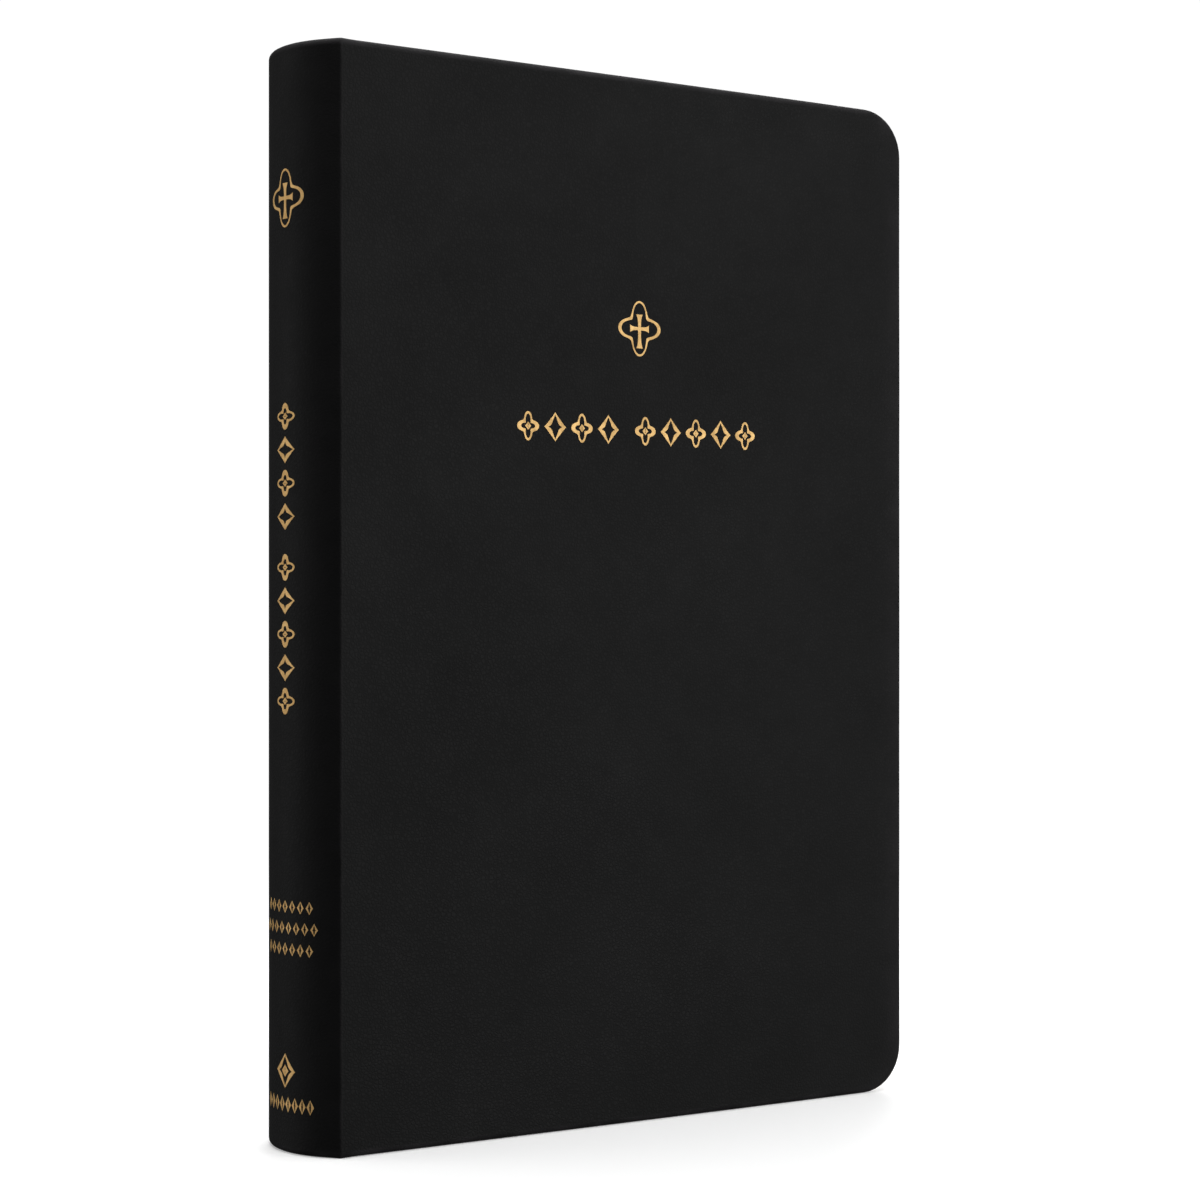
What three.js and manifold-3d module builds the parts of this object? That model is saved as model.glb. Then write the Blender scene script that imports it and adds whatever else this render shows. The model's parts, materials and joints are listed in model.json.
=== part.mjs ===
// A closed bible in a limp leather case binding, standing on its tail edge.
// Millimetres, +Z up the height of the book. The front cover faces -Y and the spine -X.
// The origin is under the middle of the book, on the surface that it stands on.
import * as THREE from "three";
import { mergeVertices } from "three/addons/utils/BufferGeometryUtils.js";
import Module from "manifold-3d";

const wasm = await Module();
wasm.setup();

// ---- driving dimensions ----
const coverHeight = 219; // head to tail
const coverWidth = 140.5; // crease to fore edge
const coverCorner = 10; // radius of the two fore-edge corners
const closedThickness = 28.4; // over both covers
const spineBulge = 6.9; // how far the round spine stands out behind the creases

const leather = 0.9; // imitation leather on its backing
const turnIn = 0.4; // the same leather pared thin where it is turned in
const turnInWidth = 12; // how far it reaches inside the cover
const board = 0.6; // the flexible board in each cover
const inlay = 0.5; // the card strip in the spine
const clothFlap = 0.2; // open cloth glued on the board beside the joint
const pastedown = 0.2; // endpaper glued down inside the cover
const lining = 0.2; // kraft paper on the back of the pages
const mull = 0.2; // open cloth under the lining
const leaf = 0.3; // a single endleaf
const bandDiameter = 1.6; // head and tail band

const square = 3.1; // how far the covers stand out past the pages
const pageCorner = 7;
const jointWidth = 4; // soft leather between the crease and the board
const flapWidth = 25;
const mullInset = 15; // how far the cloth stops short of the page ends
const liningInset = 3;
const pastedownInset = 2.4;

const glueLine = 0.1; // clearance between two glued layers
const air = 0.3; // clearance between pieces that move apart
const leafStart = 3; // crease to the free stretch of an endleaf

const turningSections = 4; // on each side
const middleSections = 5; // these stay still
const cornerSegments = 6;
const arcSegments = 24;
const bandSides = 8;

// ---- sizes that follow from them ----
const overallWidth = spineBulge + coverWidth;
const foreEdgeX = overallWidth / 2;
const creaseX = foreEdgeX - coverWidth;
const spineRadius = (closedThickness ** 2 / 4 + spineBulge ** 2) / (2 * spineBulge);
const spineCentreX = spineRadius - overallWidth / 2;

const pocketDepth = board + 2 * glueLine; // room for the board under the turned-in leather
const leatherDepth = leather + pocketDepth + turnIn;
const coverDepth = leatherDepth + glueLine + pastedown;
const pageHeight = coverHeight - 2 * square;
const blockHalf = closedThickness / 2 - coverDepth - air; // half the thickness of all the pages

const inlayRadius = spineRadius - leather - glueLine;
const spineTurnInRadius = inlayRadius - inlay - glueLine;
const liningRadius = spineTurnInRadius - turnIn - air;
const mullRadius = liningRadius - lining - glueLine;
const backRadius = mullRadius - mull - glueLine; // the round back of the pages

// X of an arc about the spine's centre at a distance y from the middle of the book
const arcX = (radius, y) => spineCentreX - Math.sqrt(radius ** 2 - y ** 2);
const gutterX = arcX(backRadius, blockHalf); // the pages bend here
const pageWidth = foreEdgeX - square - gutterX;

const endleaves = {
  front: ["front_flyleaf", "presentation_leaf", "title_leaf"],
  back: ["back_flyleaf", "map_leaf_2", "map_leaf_1"],
};
const endleafCount = endleaves.front.length;
const sectionCount = 2 * turningSections + middleSections;
const layerCount = 2 * endleafCount + sectionCount;
const sectionThickness =
  (2 * blockHalf - 2 * endleafCount * leaf - (layerCount - 1) * glueLine) / sectionCount;

// ---- materials ----
const finish = (color, roughness, metalness = 0) =>
  new THREE.MeshStandardMaterial({ color, roughness, metalness });
const materials = {
  leather: finish(0x1c1c1d, 0.6),
  card: finish(0x8f8574, 0.9),
  cloth: finish(0xd8d2c2, 0.95),
  kraft: finish(0xa98a5f, 0.9),
  endpaper: finish(0x191919, 0.8),
  page: finish(0xefe9da, 0.85),
  glue: finish(0xe6ddc4, 0.6),
  band: finish(0xc79a4a, 0.8),
};

// ---- shapes ----

// A sheet's outline, centred on its height, with both corners at the fore edge (+X) rounded.
function sheetOutline(fromX, toX, height, corner) {
  const top = height / 2;
  const outline = new THREE.Shape();
  outline.moveTo(fromX, -top);
  outline.lineTo(toX - corner, -top);
  outline.absarc(toX - corner, corner - top, corner, -Math.PI / 2, 0);
  outline.lineTo(toX, top - corner);
  outline.absarc(toX - corner, top - corner, corner, 0, Math.PI / 2);
  outline.lineTo(fromX, top);
  return outline;
}

function extruded(outline, depth, curveSegments) {
  return new THREE.ExtrudeGeometry(outline, { depth, curveSegments, bevelEnabled: false });
}

const sheet = (fromX, toX, height, corner, depth) =>
  extruded(sheetOutline(fromX, toX, height, corner), depth, cornerSegments);

// A strip round the spine, seen from above: two arcs about the spine's centre, cut off at x = endX.
function spineStrip(outerRadius, thickness, endX, height) {
  const innerRadius = outerRadius - thickness;
  const halfAngle = (radius) => Math.acos((spineCentreX - endX) / radius);
  const outer = halfAngle(outerRadius);
  const inner = halfAngle(innerRadius);
  const outline = new THREE.Shape();
  outline.absarc(spineCentreX, 0, outerRadius, Math.PI - outer, Math.PI + outer);
  outline.absarc(spineCentreX, 0, innerRadius, Math.PI + inner, Math.PI - inner, true);
  return extruded(outline, height, arcSegments);
}

function solidOf(geometry) {
  const bare = geometry.clone();
  bare.deleteAttribute("normal");
  bare.deleteAttribute("uv");
  const merged = mergeVertices(bare);
  return new wasm.Manifold(
    new wasm.Mesh({
      numProp: 3,
      vertProperties: merged.attributes.position.array,
      triVerts: new Uint32Array(merged.index.array),
    }),
  );
}

function geometryOf(solid) {
  const { vertProperties, triVerts } = solid.getMesh();
  const geometry = new THREE.BufferGeometry();
  geometry.setAttribute("position", new THREE.BufferAttribute(vertProperties, 3));
  geometry.setIndex(new THREE.BufferAttribute(triVerts, 1));
  geometry.computeVertexNormals();
  return geometry;
}

// ---- assembly ----
const bible = new THREE.Group();
bible.name = "bible";

function add(parent, name, geometry, material, z = 0) {
  const mesh = new THREE.Mesh(geometry, material);
  mesh.name = name;
  mesh.position.z = z;
  parent.add(mesh);
}

// A stack of flat layers, whose own +Z runs from the outside of a cover towards the middle.
function sideStack(side) {
  const stack = new THREE.Group();
  const facing = side === "front" ? -1 : 1;
  stack.position.set(0, (facing * closedThickness) / 2, coverHeight / 2);
  stack.rotation.x = (facing * Math.PI) / 2;
  bible.add(stack);
  return stack;
}

// The leather folds round the board at the head, tail and fore edge, and lies open at the joint.
function coverLeather() {
  const startX = creaseX + air / 2;
  const openX = creaseX - air; // a cutter that starts here leaves the joint side open
  const inset = (amount, corner, depth) =>
    sheet(openX, foreEdgeX - amount, coverHeight - 2 * amount, corner, depth);
  const whole = solidOf(sheet(startX, foreEdgeX, coverHeight, coverCorner, leatherDepth));
  const pocket = solidOf(inset(leather, coverCorner - leather, pocketDepth));
  const windowCorner = Math.max(coverCorner - turnInWidth, glueLine);
  const window = solidOf(inset(turnInWidth, windowCorner, turnIn + 2 * glueLine));
  return geometryOf(
    whole
      .subtract(pocket.translate([0, 0, leather]))
      .subtract(window.translate([0, 0, leather + pocketDepth - glueLine])),
  );
}

function addCover(stack, side) {
  const boardInset = leather + glueLine;
  const flapHeight = pageHeight - 2 * mullInset;
  const boardTop = leather + glueLine + board;
  add(stack, `${side}_cover_leather`, coverLeather(), materials.leather);
  add(
    stack,
    `${side}_board`,
    sheet(
      creaseX + jointWidth,
      foreEdgeX - boardInset,
      coverHeight - 2 * boardInset,
      coverCorner - boardInset,
      board,
    ),
    materials.card,
    leather + glueLine,
  );
  add(
    stack,
    `${side}_hinge_cloth`,
    sheet(creaseX + air, creaseX + flapWidth, flapHeight, glueLine, clothFlap),
    materials.cloth,
    boardTop + glueLine,
  );
  add(
    stack,
    `${side}_pastedown`,
    sheet(
      creaseX + leafStart,
      foreEdgeX - pastedownInset,
      coverHeight - 2 * pastedownInset,
      coverCorner - pastedownInset,
      pastedown,
    ),
    materials.endpaper,
    leatherDepth + glueLine,
  );
}

// Pages are all one width, so the fore edge curves in as much as the back curves out.
function pageForeEdge(depth) {
  return arcX(backRadius, closedThickness / 2 - depth) + pageWidth;
}

function addPages(stack, side) {
  let depth = coverDepth + air;
  for (const [index, name] of endleaves[side].entries()) {
    const paper = index === 0 ? materials.endpaper : materials.page;
    const geometry = sheet(creaseX + leafStart, pageForeEdge(depth), pageHeight, pageCorner, leaf);
    add(stack, name, geometry, paper, depth);
    depth += leaf + glueLine;
  }
  const sections = side === "front" ? turningSections + middleSections : turningSections;
  for (let index = 1; index <= sections; index++) {
    const middle = index - turningSections;
    const name = middle > 0 ? `middle_section_${middle}` : `${side}_section_${index}`;
    const edge = pageForeEdge(depth + sectionThickness / 2);
    const geometry = sheet(gutterX + air / 2, edge, pageHeight, pageCorner, sectionThickness);
    add(stack, name, geometry, materials.page, depth);
    depth += sectionThickness + glueLine;
  }
}

// The spine's leather folds over the inlay at the head and tail.
function spineLeather() {
  const endX = creaseX - air / 2;
  const turnInEnd = creaseX - air;
  const fold = glueLine + leather;
  const foldDepth = leather + glueLine + inlay + glueLine + turnIn;
  const skin = solidOf(spineStrip(spineRadius, leather, endX, coverHeight));
  const tailFold = solidOf(
    spineStrip(spineRadius - leather / 2, foldDepth - leather / 2, turnInEnd, leather),
  );
  const tailLip = solidOf(spineStrip(spineTurnInRadius, turnIn, turnInEnd, turnInWidth));
  const toHead = [0, 0, coverHeight - leather];
  const lipToHead = [0, 0, coverHeight - turnInWidth];
  return geometryOf(
    skin
      .add(tailFold)
      .add(tailLip)
      .add(tailFold.translate(toHead))
      .add(tailLip.translate(lipToHead)),
  );
}

// The glued backs of the sections: one block with a round back and a flat front.
function gluedBack() {
  const flatX = gutterX - air / 2;
  const angle = Math.acos((spineCentreX - flatX) / backRadius);
  const outline = new THREE.Shape();
  outline.absarc(spineCentreX, 0, backRadius, Math.PI - angle, Math.PI + angle);
  return extruded(outline, pageHeight, arcSegments);
}

// A rolled band that lies on the end of the pages, along their round back.
class BandCurve extends THREE.Curve {
  constructor(radius, halfAngle) {
    super();
    this.radius = radius;
    this.halfAngle = halfAngle;
  }
  getPoint(t, target = new THREE.Vector3()) {
    const angle = Math.PI + (2 * t - 1) * this.halfAngle;
    return target.set(
      spineCentreX + this.radius * Math.cos(angle),
      this.radius * Math.sin(angle),
      0,
    );
  }
}

function endBand() {
  const radius = backRadius - bandDiameter / 2;
  const reachX = gutterX - air - bandDiameter;
  const halfAngle = Math.acos((spineCentreX - reachX) / radius);
  const round = new THREE.Shape();
  round.absarc(0, 0, bandDiameter / 2, 0, 2 * Math.PI);
  return new THREE.ExtrudeGeometry(round, {
    steps: arcSegments,
    curveSegments: bandSides,
    extrudePath: new BandCurve(radius, halfAngle),
  });
}

function addSpine() {
  const inlayInset = leather + glueLine;
  const jointClear = creaseX - 2 * air;
  const besidePages = (radius) => arcX(radius, blockHalf); // the strips are as wide as the pages
  const between = (inset) => coverHeight - 2 * inset;
  add(bible, "spine_leather", spineLeather(), materials.leather);
  add(
    bible,
    "spine_inlay",
    spineStrip(inlayRadius, inlay, jointClear, between(inlayInset)),
    materials.card,
    inlayInset,
  );
  add(
    bible,
    "spine_lining",
    spineStrip(liningRadius, lining, besidePages(liningRadius), between(square + liningInset)),
    materials.kraft,
    square + liningInset,
  );
  add(
    bible,
    "spine_mull",
    spineStrip(mullRadius, mull, besidePages(mullRadius), between(square + mullInset)),
    materials.cloth,
    square + mullInset,
  );
  add(bible, "glued_back", gluedBack(), materials.glue, square);
  const bandLift = glueLine + bandDiameter / 2;
  add(bible, "tail_band", endBand(), materials.band, square - bandLift);
  add(bible, "head_band", endBand(), materials.band, coverHeight - square + bandLift);
}

for (const side of ["front", "back"]) {
  const stack = sideStack(side);
  addCover(stack, side);
  addPages(stack, side);
}
addSpine();

export default bible;
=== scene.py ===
"""The looks of a bible in a limp leather case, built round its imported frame.

Everything is in metres in the frame's own axes: +Z runs up the height of the book, the front
cover faces -Y and the spine faces -X. Sizes come from the frame, or are named values here.
"""
import json
import logging
import math
import random
from collections.abc import Callable, Iterator, Sequence
from dataclasses import dataclass, field
from enum import Enum
from functools import reduce

import bpy
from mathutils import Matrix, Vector, noise


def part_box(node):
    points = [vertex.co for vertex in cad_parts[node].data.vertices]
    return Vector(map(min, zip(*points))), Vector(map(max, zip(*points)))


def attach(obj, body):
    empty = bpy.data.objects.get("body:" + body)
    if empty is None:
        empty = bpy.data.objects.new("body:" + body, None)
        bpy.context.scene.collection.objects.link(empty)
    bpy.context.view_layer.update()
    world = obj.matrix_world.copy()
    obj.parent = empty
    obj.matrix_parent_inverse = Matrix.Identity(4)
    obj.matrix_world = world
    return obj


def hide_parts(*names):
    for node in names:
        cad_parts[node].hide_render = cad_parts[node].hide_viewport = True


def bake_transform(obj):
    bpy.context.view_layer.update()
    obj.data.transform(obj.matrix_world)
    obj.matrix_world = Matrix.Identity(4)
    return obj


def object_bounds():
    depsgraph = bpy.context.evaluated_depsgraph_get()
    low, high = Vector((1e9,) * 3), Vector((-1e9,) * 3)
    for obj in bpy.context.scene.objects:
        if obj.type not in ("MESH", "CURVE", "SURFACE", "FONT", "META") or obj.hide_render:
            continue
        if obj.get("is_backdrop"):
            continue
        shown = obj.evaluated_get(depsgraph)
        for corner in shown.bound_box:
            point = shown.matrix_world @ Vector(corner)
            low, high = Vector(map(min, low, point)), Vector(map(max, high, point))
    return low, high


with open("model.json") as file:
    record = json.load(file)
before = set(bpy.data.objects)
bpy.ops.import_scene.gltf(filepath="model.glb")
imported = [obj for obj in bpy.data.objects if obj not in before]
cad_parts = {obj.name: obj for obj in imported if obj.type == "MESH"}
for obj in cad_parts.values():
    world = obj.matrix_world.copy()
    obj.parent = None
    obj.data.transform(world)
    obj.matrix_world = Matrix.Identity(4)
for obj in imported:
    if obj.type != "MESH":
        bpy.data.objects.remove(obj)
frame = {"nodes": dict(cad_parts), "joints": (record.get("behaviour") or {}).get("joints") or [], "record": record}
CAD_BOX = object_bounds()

LOG = logging.getLogger("bible")
MM = 0.001
SHARP_ANGLE = math.radians(40.0)

Face = tuple[int, ...]
Colour = tuple[float, float, float]
WHITE: Colour = (1.0, 1.0, 1.0)


class Side(Enum):
    """The two covers, each with the sign of the Y direction that it faces."""

    FRONT = -1
    BACK = 1

    @property
    def word(self) -> str:
        """The side's name as the frame's nodes and bodies write it."""
        return self.name.lower()


def smooth(value: float) -> float:
    """Ease a value from 0 to 1, held at both ends."""
    t = min(1.0, max(0.0, value))
    return t * t * (3.0 - 2.0 * t)


# ---------------------------------------------------------------------------------------------
# Sizes
# ---------------------------------------------------------------------------------------------


@dataclass(frozen=True)
class BookSizes:
    """The overall sizes of the book, read from the frame."""

    height: float
    fore_edge: float
    crease: float
    apex: float
    half_thickness: float
    leather_depth: float
    gutter: float
    page_tail: float
    page_head: float
    page_fore_edge: float
    page_half_thickness: float

    @classmethod
    def from_frame(cls) -> "BookSizes":
        """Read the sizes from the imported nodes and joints.

        Returns:
            The sizes, in metres.
        """
        cover_low, cover_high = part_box("front_cover_leather")
        spine_low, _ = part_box("spine_leather")
        leaf_low, leaf_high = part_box("front_flyleaf")
        section_low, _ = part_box("front_section_1")
        hinge = next(j for j in frame["joints"] if j["name"] == "front_cover_hinge")
        return cls(
            height=cover_high.z,
            fore_edge=cover_high.x,
            crease=hinge["pos_m"][0],
            apex=spine_low.x,
            half_thickness=-cover_low.y,
            leather_depth=cover_high.y - cover_low.y,
            gutter=section_low.x,
            page_tail=leaf_low.z,
            page_head=leaf_high.z,
            page_fore_edge=leaf_high.x,
            page_half_thickness=-leaf_low.y,
        )

    @property
    def cover_width(self) -> float:
        """From the crease to the fore edge."""
        return self.fore_edge - self.crease

    @property
    def spine_radius(self) -> float:
        """Radius of the round spine, from its width and how far it stands out."""
        bulge = self.crease - self.apex
        return (self.half_thickness**2 + bulge**2) / (2.0 * bulge)

    @property
    def spine_centre(self) -> float:
        """X of the axis that the spine is round about."""
        return self.apex + self.spine_radius

    @property
    def crease_angle(self) -> float:
        """Angle from the spine's middle to a crease, about the spine's axis."""
        return math.asin(self.half_thickness / self.spine_radius)

    @property
    def spine_girth(self) -> float:
        """Length round the spine from crease to crease."""
        return 2.0 * self.spine_radius * self.crease_angle

    def page_edge_at(self, y: float) -> float:
        """How far the pages reach at a distance y from the book's middle.

        Args:
            y: Distance from the middle plane of the book.

        Returns:
            X of the fore edge, which curves in as much as the pages' backs curve out.
        """
        radius = math.hypot(self.spine_centre - self.gutter, self.page_half_thickness)
        rise = math.sqrt(max(0.0, radius**2 - y**2)) - (self.spine_centre - self.gutter)
        return self.page_fore_edge - max(0.0, rise)


SIZES = BookSizes.from_frame()


# ---------------------------------------------------------------------------------------------
# Mesh building
# ---------------------------------------------------------------------------------------------


class Shading(Enum):
    """How the faces of a piece meet in the light."""

    FLAT = 0
    CREASED = 1
    SMOOTH = 2


@dataclass
class MeshParts:
    """Points and faces that are gathered before they become one mesh."""

    points: list[Vector] = field(default_factory=list)
    faces: list[Face] = field(default_factory=list)
    finishes: list[int] = field(default_factory=list)
    tints: list[float] = field(default_factory=list)

    def add_point(self, point: Vector) -> int:
        """Add a point and return its number."""
        self.points.append(point)
        return len(self.points) - 1

    def add_face(self, corners: Sequence[int], finish: int = 0, tint: float = 0.5) -> None:
        """Add a face.

        Args:
            corners: The numbers of its points, anticlockwise seen from outside.
            finish: Which of the piece's materials it takes.
            tint: A shade from 0 to 1 that the material may read.
        """
        self.faces.append(tuple(corners))
        self.finishes.append(finish)
        self.tints.append(tint)

    def add_grid(self, rows: list[list[int]], finish: int = 0, turned: bool = False) -> None:
        """Join a grid of points with four-sided faces.

        Args:
            rows: Numbers of the points, row by row.
            finish: Which of the piece's materials the faces take.
            turned: True to face the other way.
        """
        for lower, upper in zip(rows, rows[1:]):
            for k in range(len(lower) - 1):
                corners = [lower[k], lower[k + 1], upper[k + 1], upper[k]]
                self.add_face(corners[::-1] if turned else corners, finish)

    def add_band(
        self,
        first: list[int],
        second: list[int],
        finish: int = 0,
        tint: float = 0.5,
        closed: bool = False,
    ) -> None:
        """Join two rows of points that run side by side.

        Args:
            first: The row that lies to the outside.
            second: The row that lies to the inside.
            finish: Which of the piece's materials the faces take.
            tint: The shade of the faces.
            closed: True to join the rows' ends as well.
        """
        count = len(first)
        for k in range(count if closed else count - 1):
            after = (k + 1) % count
            self.add_face([first[k], second[k], second[after], first[after]], finish, tint)

    def mirrored(self) -> "MeshParts":
        """The same parts on the other side of the book's middle plane.

        Returns:
            New parts with Y and the faces turned round.
        """
        return MeshParts(
            points=[Vector((p.x, -p.y, p.z)) for p in self.points],
            faces=[face[::-1] for face in self.faces],
            finishes=list(self.finishes),
            tints=list(self.tints),
        )

    def on_side(self, side: Side) -> "MeshParts":
        """These parts for a side, mirrored for the back."""
        return self if side is Side.FRONT else self.mirrored()

    def to_object(
        self, name: str, materials: Sequence[bpy.types.Material], shading: Shading
    ) -> bpy.types.Object:
        """Make the object.

        Args:
            name: Name of the piece.
            materials: The materials that the faces choose among.
            shading: How its faces meet.

        Returns:
            The new object, linked to the scene.
        """
        mesh = bpy.data.meshes.new(name)
        mesh.from_pydata([tuple(p) for p in self.points], [], self.faces)
        for material in materials:
            mesh.materials.append(material)
        mesh.polygons.foreach_set("material_index", self.finishes)
        mesh.polygons.foreach_set("use_smooth", [shading is not Shading.FLAT] * len(self.faces))
        shade = mesh.attributes.new("tint", "FLOAT", "FACE")
        shade.data.foreach_set("value", self.tints)
        flat = mesh.attributes.new("flat_place", "FLOAT_VECTOR", "POINT")
        flat.data.foreach_set("vector", [value for p in self.points for value in p])
        mesh.update()
        if shading is Shading.CREASED:
            mesh.set_sharp_from_angle(angle=SHARP_ANGLE)
        piece = bpy.data.objects.new(name, mesh)
        bpy.context.scene.collection.objects.link(piece)
        return piece


@dataclass(frozen=True)
class RimPoint:
    """A point on a sheet's outline: its row and column, and the way out of the sheet there."""

    row: int
    column: int
    out_s: float
    out_z: float


@dataclass(frozen=True)
class SheetPlan:
    """A flat sheet with two rounded corners at its far end, cut into rows and columns."""

    start: float
    end: float
    tail: float
    head: float
    corner: float
    near_columns: tuple[float, ...] = ()
    far_columns: int = 6
    rows: int = 3
    corner_rows: int = 6

    def levels(self) -> list[tuple[float, float, float]]:
        """The rows from tail to head.

        Returns:
            For each row its height, its far end, and the angle of the outline's way out there,
            from straight down (-90 degrees) to straight up.
        """
        quarter = math.pi / 2.0
        angles = [-quarter + quarter * k / self.corner_rows for k in range(self.corner_rows + 1)]
        low = [
            (
                self.tail + self.corner * (1.0 + math.sin(a)),
                self.end - self.corner * (1.0 - math.cos(a)),
                a,
            )
            for a in angles
        ]
        straight = self.head - self.tail - 2.0 * self.corner
        middle = [
            (self.tail + self.corner + straight * k / self.rows, self.end, 0.0)
            for k in range(1, self.rows)
        ]
        high = [(self.head + self.tail - z, end, -a) for z, end, a in reversed(low)]
        return low + middle + high

    def grid(self) -> list[list[tuple[float, float]]]:
        """The points of the sheet.

        Returns:
            The points, row by row, as (distance along, height).
        """
        base = [self.start, *self.near_columns]
        rows = []
        for z, end, _ in self.levels():
            reach = end - base[-1]
            far = [base[-1] + reach * k / self.far_columns for k in range(1, self.far_columns + 1)]
            rows.append([(s, z) for s in base + far])
        return rows

    def rim(self, closed: bool = True) -> list[RimPoint]:
        """The outline, along the tail, up the fore edge and back along the head.

        Args:
            closed: True to come back down the near side.

        Returns:
            The outline's points in order.
        """
        levels = self.levels()
        last = len(self.near_columns) + self.far_columns
        top = len(levels) - 1
        tail = [RimPoint(0, column, 0.0, -1.0) for column in range(last)]
        fore = [
            RimPoint(row, last, math.cos(angle), math.sin(angle))
            for row, (_, _, angle) in enumerate(levels)
        ]
        head = [RimPoint(top, column, 0.0, 1.0) for column in range(last - 1, -1, -1)]
        near = [RimPoint(row, 0, -1.0, 0.0) for row in range(top - 1, 0, -1)]
        return tail + fore + head + (near if closed else [])


Placer = Callable[[float, float, float], Vector]


def slab(plan: SheetPlan, place: Placer, outer: float, inner: float) -> MeshParts:
    """Build a closed sheet of even thickness.

    Args:
        plan: The sheet's outline, rows and columns.
        place: Gives the point at a distance along, a height and a depth.
        outer: Depth of its outer face.
        inner: Depth of its inner face.

    Returns:
        The sheet for the front side.
    """
    parts = MeshParts()
    grid = plan.grid()
    outside = [[parts.add_point(place(s, z, outer)) for s, z in row] for row in grid]
    inside = [[parts.add_point(place(s, z, inner)) for s, z in row] for row in grid]
    parts.add_grid(outside)
    parts.add_grid(inside, turned=True)
    rim = plan.rim()
    parts.add_band(
        [outside[r.row][r.column] for r in rim], [inside[r.row][r.column] for r in rim], closed=True
    )
    return parts


# ---------------------------------------------------------------------------------------------
# Shader building
# ---------------------------------------------------------------------------------------------

Output = bpy.types.NodeSocket
Value = Output | float
Shade = Output | Colour
Relief = tuple[float, float]  # its depth in metres, and how much of it shows


class NodeTree:
    """Short calls that build a material's or a group's nodes."""

    def __init__(self, tree: bpy.types.NodeTree) -> None:
        """Start with an empty tree."""
        self.tree = tree
        tree.nodes.clear()

    def feed(self, socket: Output, value: object) -> None:
        """Give an input its value.

        Args:
            socket: The input.
            value: A value, a colour without its alpha, or the output that feeds the input.
        """
        if isinstance(value, Output):
            self.tree.links.new(value, socket)
        elif socket.type == "RGBA" and len(value) == 3:
            socket.default_value = (*value, 1.0)
        else:
            socket.default_value = value

    def add(self, kind: str, inputs: dict | None = None, **settings: object) -> bpy.types.Node:
        """Add a node.

        Args:
            kind: The node's type.
            inputs: For each input, by name or number, what feeds it.
            settings: The node's own properties.

        Returns:
            The new node.
        """
        node = self.tree.nodes.new(kind)
        for name, value in settings.items():
            setattr(node, name, value)
        for name, value in (inputs or {}).items():
            self.feed(node.inputs[name], value)
        return node

    def maths(self, operation: str, first: Value, second: Value = 0.0) -> Output:
        """Add a Math node and return its result."""
        return self.add("ShaderNodeMath", {0: first, 1: second}, operation=operation).outputs[0]

    def all_of(self, *masks: Output) -> Output:
        """A mask that is 1 where each one of some masks is 1."""
        return reduce(lambda first, second: self.maths("MULTIPLY", first, second), masks)

    def inside(self, value: Output, low: float, high: float) -> Output:
        """A mask that is 1 where a value lies between two limits."""
        return self.all_of(self.maths("GREATER_THAN", value, low), self.maths("LESS_THAN", value, high))

    def span(self, value: Output, low: float, high: float, to_low: float, to_high: float) -> Output:
        """Bring a value from one range to another, and hold it inside the new one."""
        ends = {"From Min": low, "From Max": high, "To Min": to_low, "To Max": to_high}
        return self.add("ShaderNodeMapRange", {"Value": value, **ends}).outputs["Result"]

    def beyond(self, value: Output, middle: float, half: float) -> Output:
        """How far a value lies beyond a half width about a middle."""
        away = self.maths("ABSOLUTE", self.maths("SUBTRACT", value, middle))
        return self.maths("SUBTRACT", away, half)

    def held(self, value: Output) -> Output:
        """A value held between 0 and 1."""
        return self.add("ShaderNodeClamp", {"Value": value}).outputs[0]

    def between(self, share: Value, first: Value, second: Value) -> Output:
        """Mix two values: 0 for the first, 1 for the second."""
        return self.add("ShaderNodeMix", {0: share, 2: first, 3: second}).outputs[0]

    def mix(self, mask: Output, first: Shade, second: Shade) -> Output:
        """Mix two colours: 0 for the first, 1 for the second."""
        return self.add("ShaderNodeMix", {0: mask, 6: first, 7: second}, data_type="RGBA").outputs[2]

    def white(self, kind: str, strength: float) -> Output:
        """Add a white Emission or Background of some strength and return its shader."""
        return self.add(kind, {"Color": WHITE, "Strength": strength}).outputs[0]

    def place(self) -> Output:
        """The object's own coordinates, in metres."""
        return self.add("ShaderNodeTexCoord").outputs["Object"]

    def stretched(self, along: tuple[float, float, float]) -> Output:
        """The object's own coordinates, multiplied along each axis."""
        inputs = {"Vector": self.place(), "Scale": along}
        return self.add("ShaderNodeMapping", inputs).outputs["Vector"]

    def axes(self, vector: Output) -> bpy.types.bpy_prop_collection:
        """The X, Y and Z of a vector."""
        return self.add("ShaderNodeSeparateXYZ", {"Vector": vector}).outputs

    def attribute(self, name: str) -> bpy.types.bpy_prop_collection:
        """The outputs of one of the mesh's own attributes."""
        return self.add("ShaderNodeAttribute", attribute_name=name).outputs

    def noise(self, scale: Value, detail: float = 3.0, vector: Output | None = None) -> Output:
        """Add a noise about 0.5, with so many waves to a metre and so many finer octaves."""
        inputs = {"Vector": vector or self.place(), "Scale": scale, "Detail": detail}
        return self.add("ShaderNodeTexNoise", inputs).outputs["Fac"]

    def bump(self, height: Output, relief: Relief, under: Output | None = None) -> Output:
        """Turn a height into a normal.

        Args:
            height: The height, from 0 to 1.
            relief: What a height of 1 is, and how much of it shows.
            under: A normal from another bump, which this one lies on.

        Returns:
            The normal.
        """
        depth, strength = relief
        inputs = {"Height": height, "Distance": depth, "Strength": strength}
        if under is not None:
            inputs["Normal"] = under
        return self.add("ShaderNodeBump", inputs).outputs["Normal"]


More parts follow.
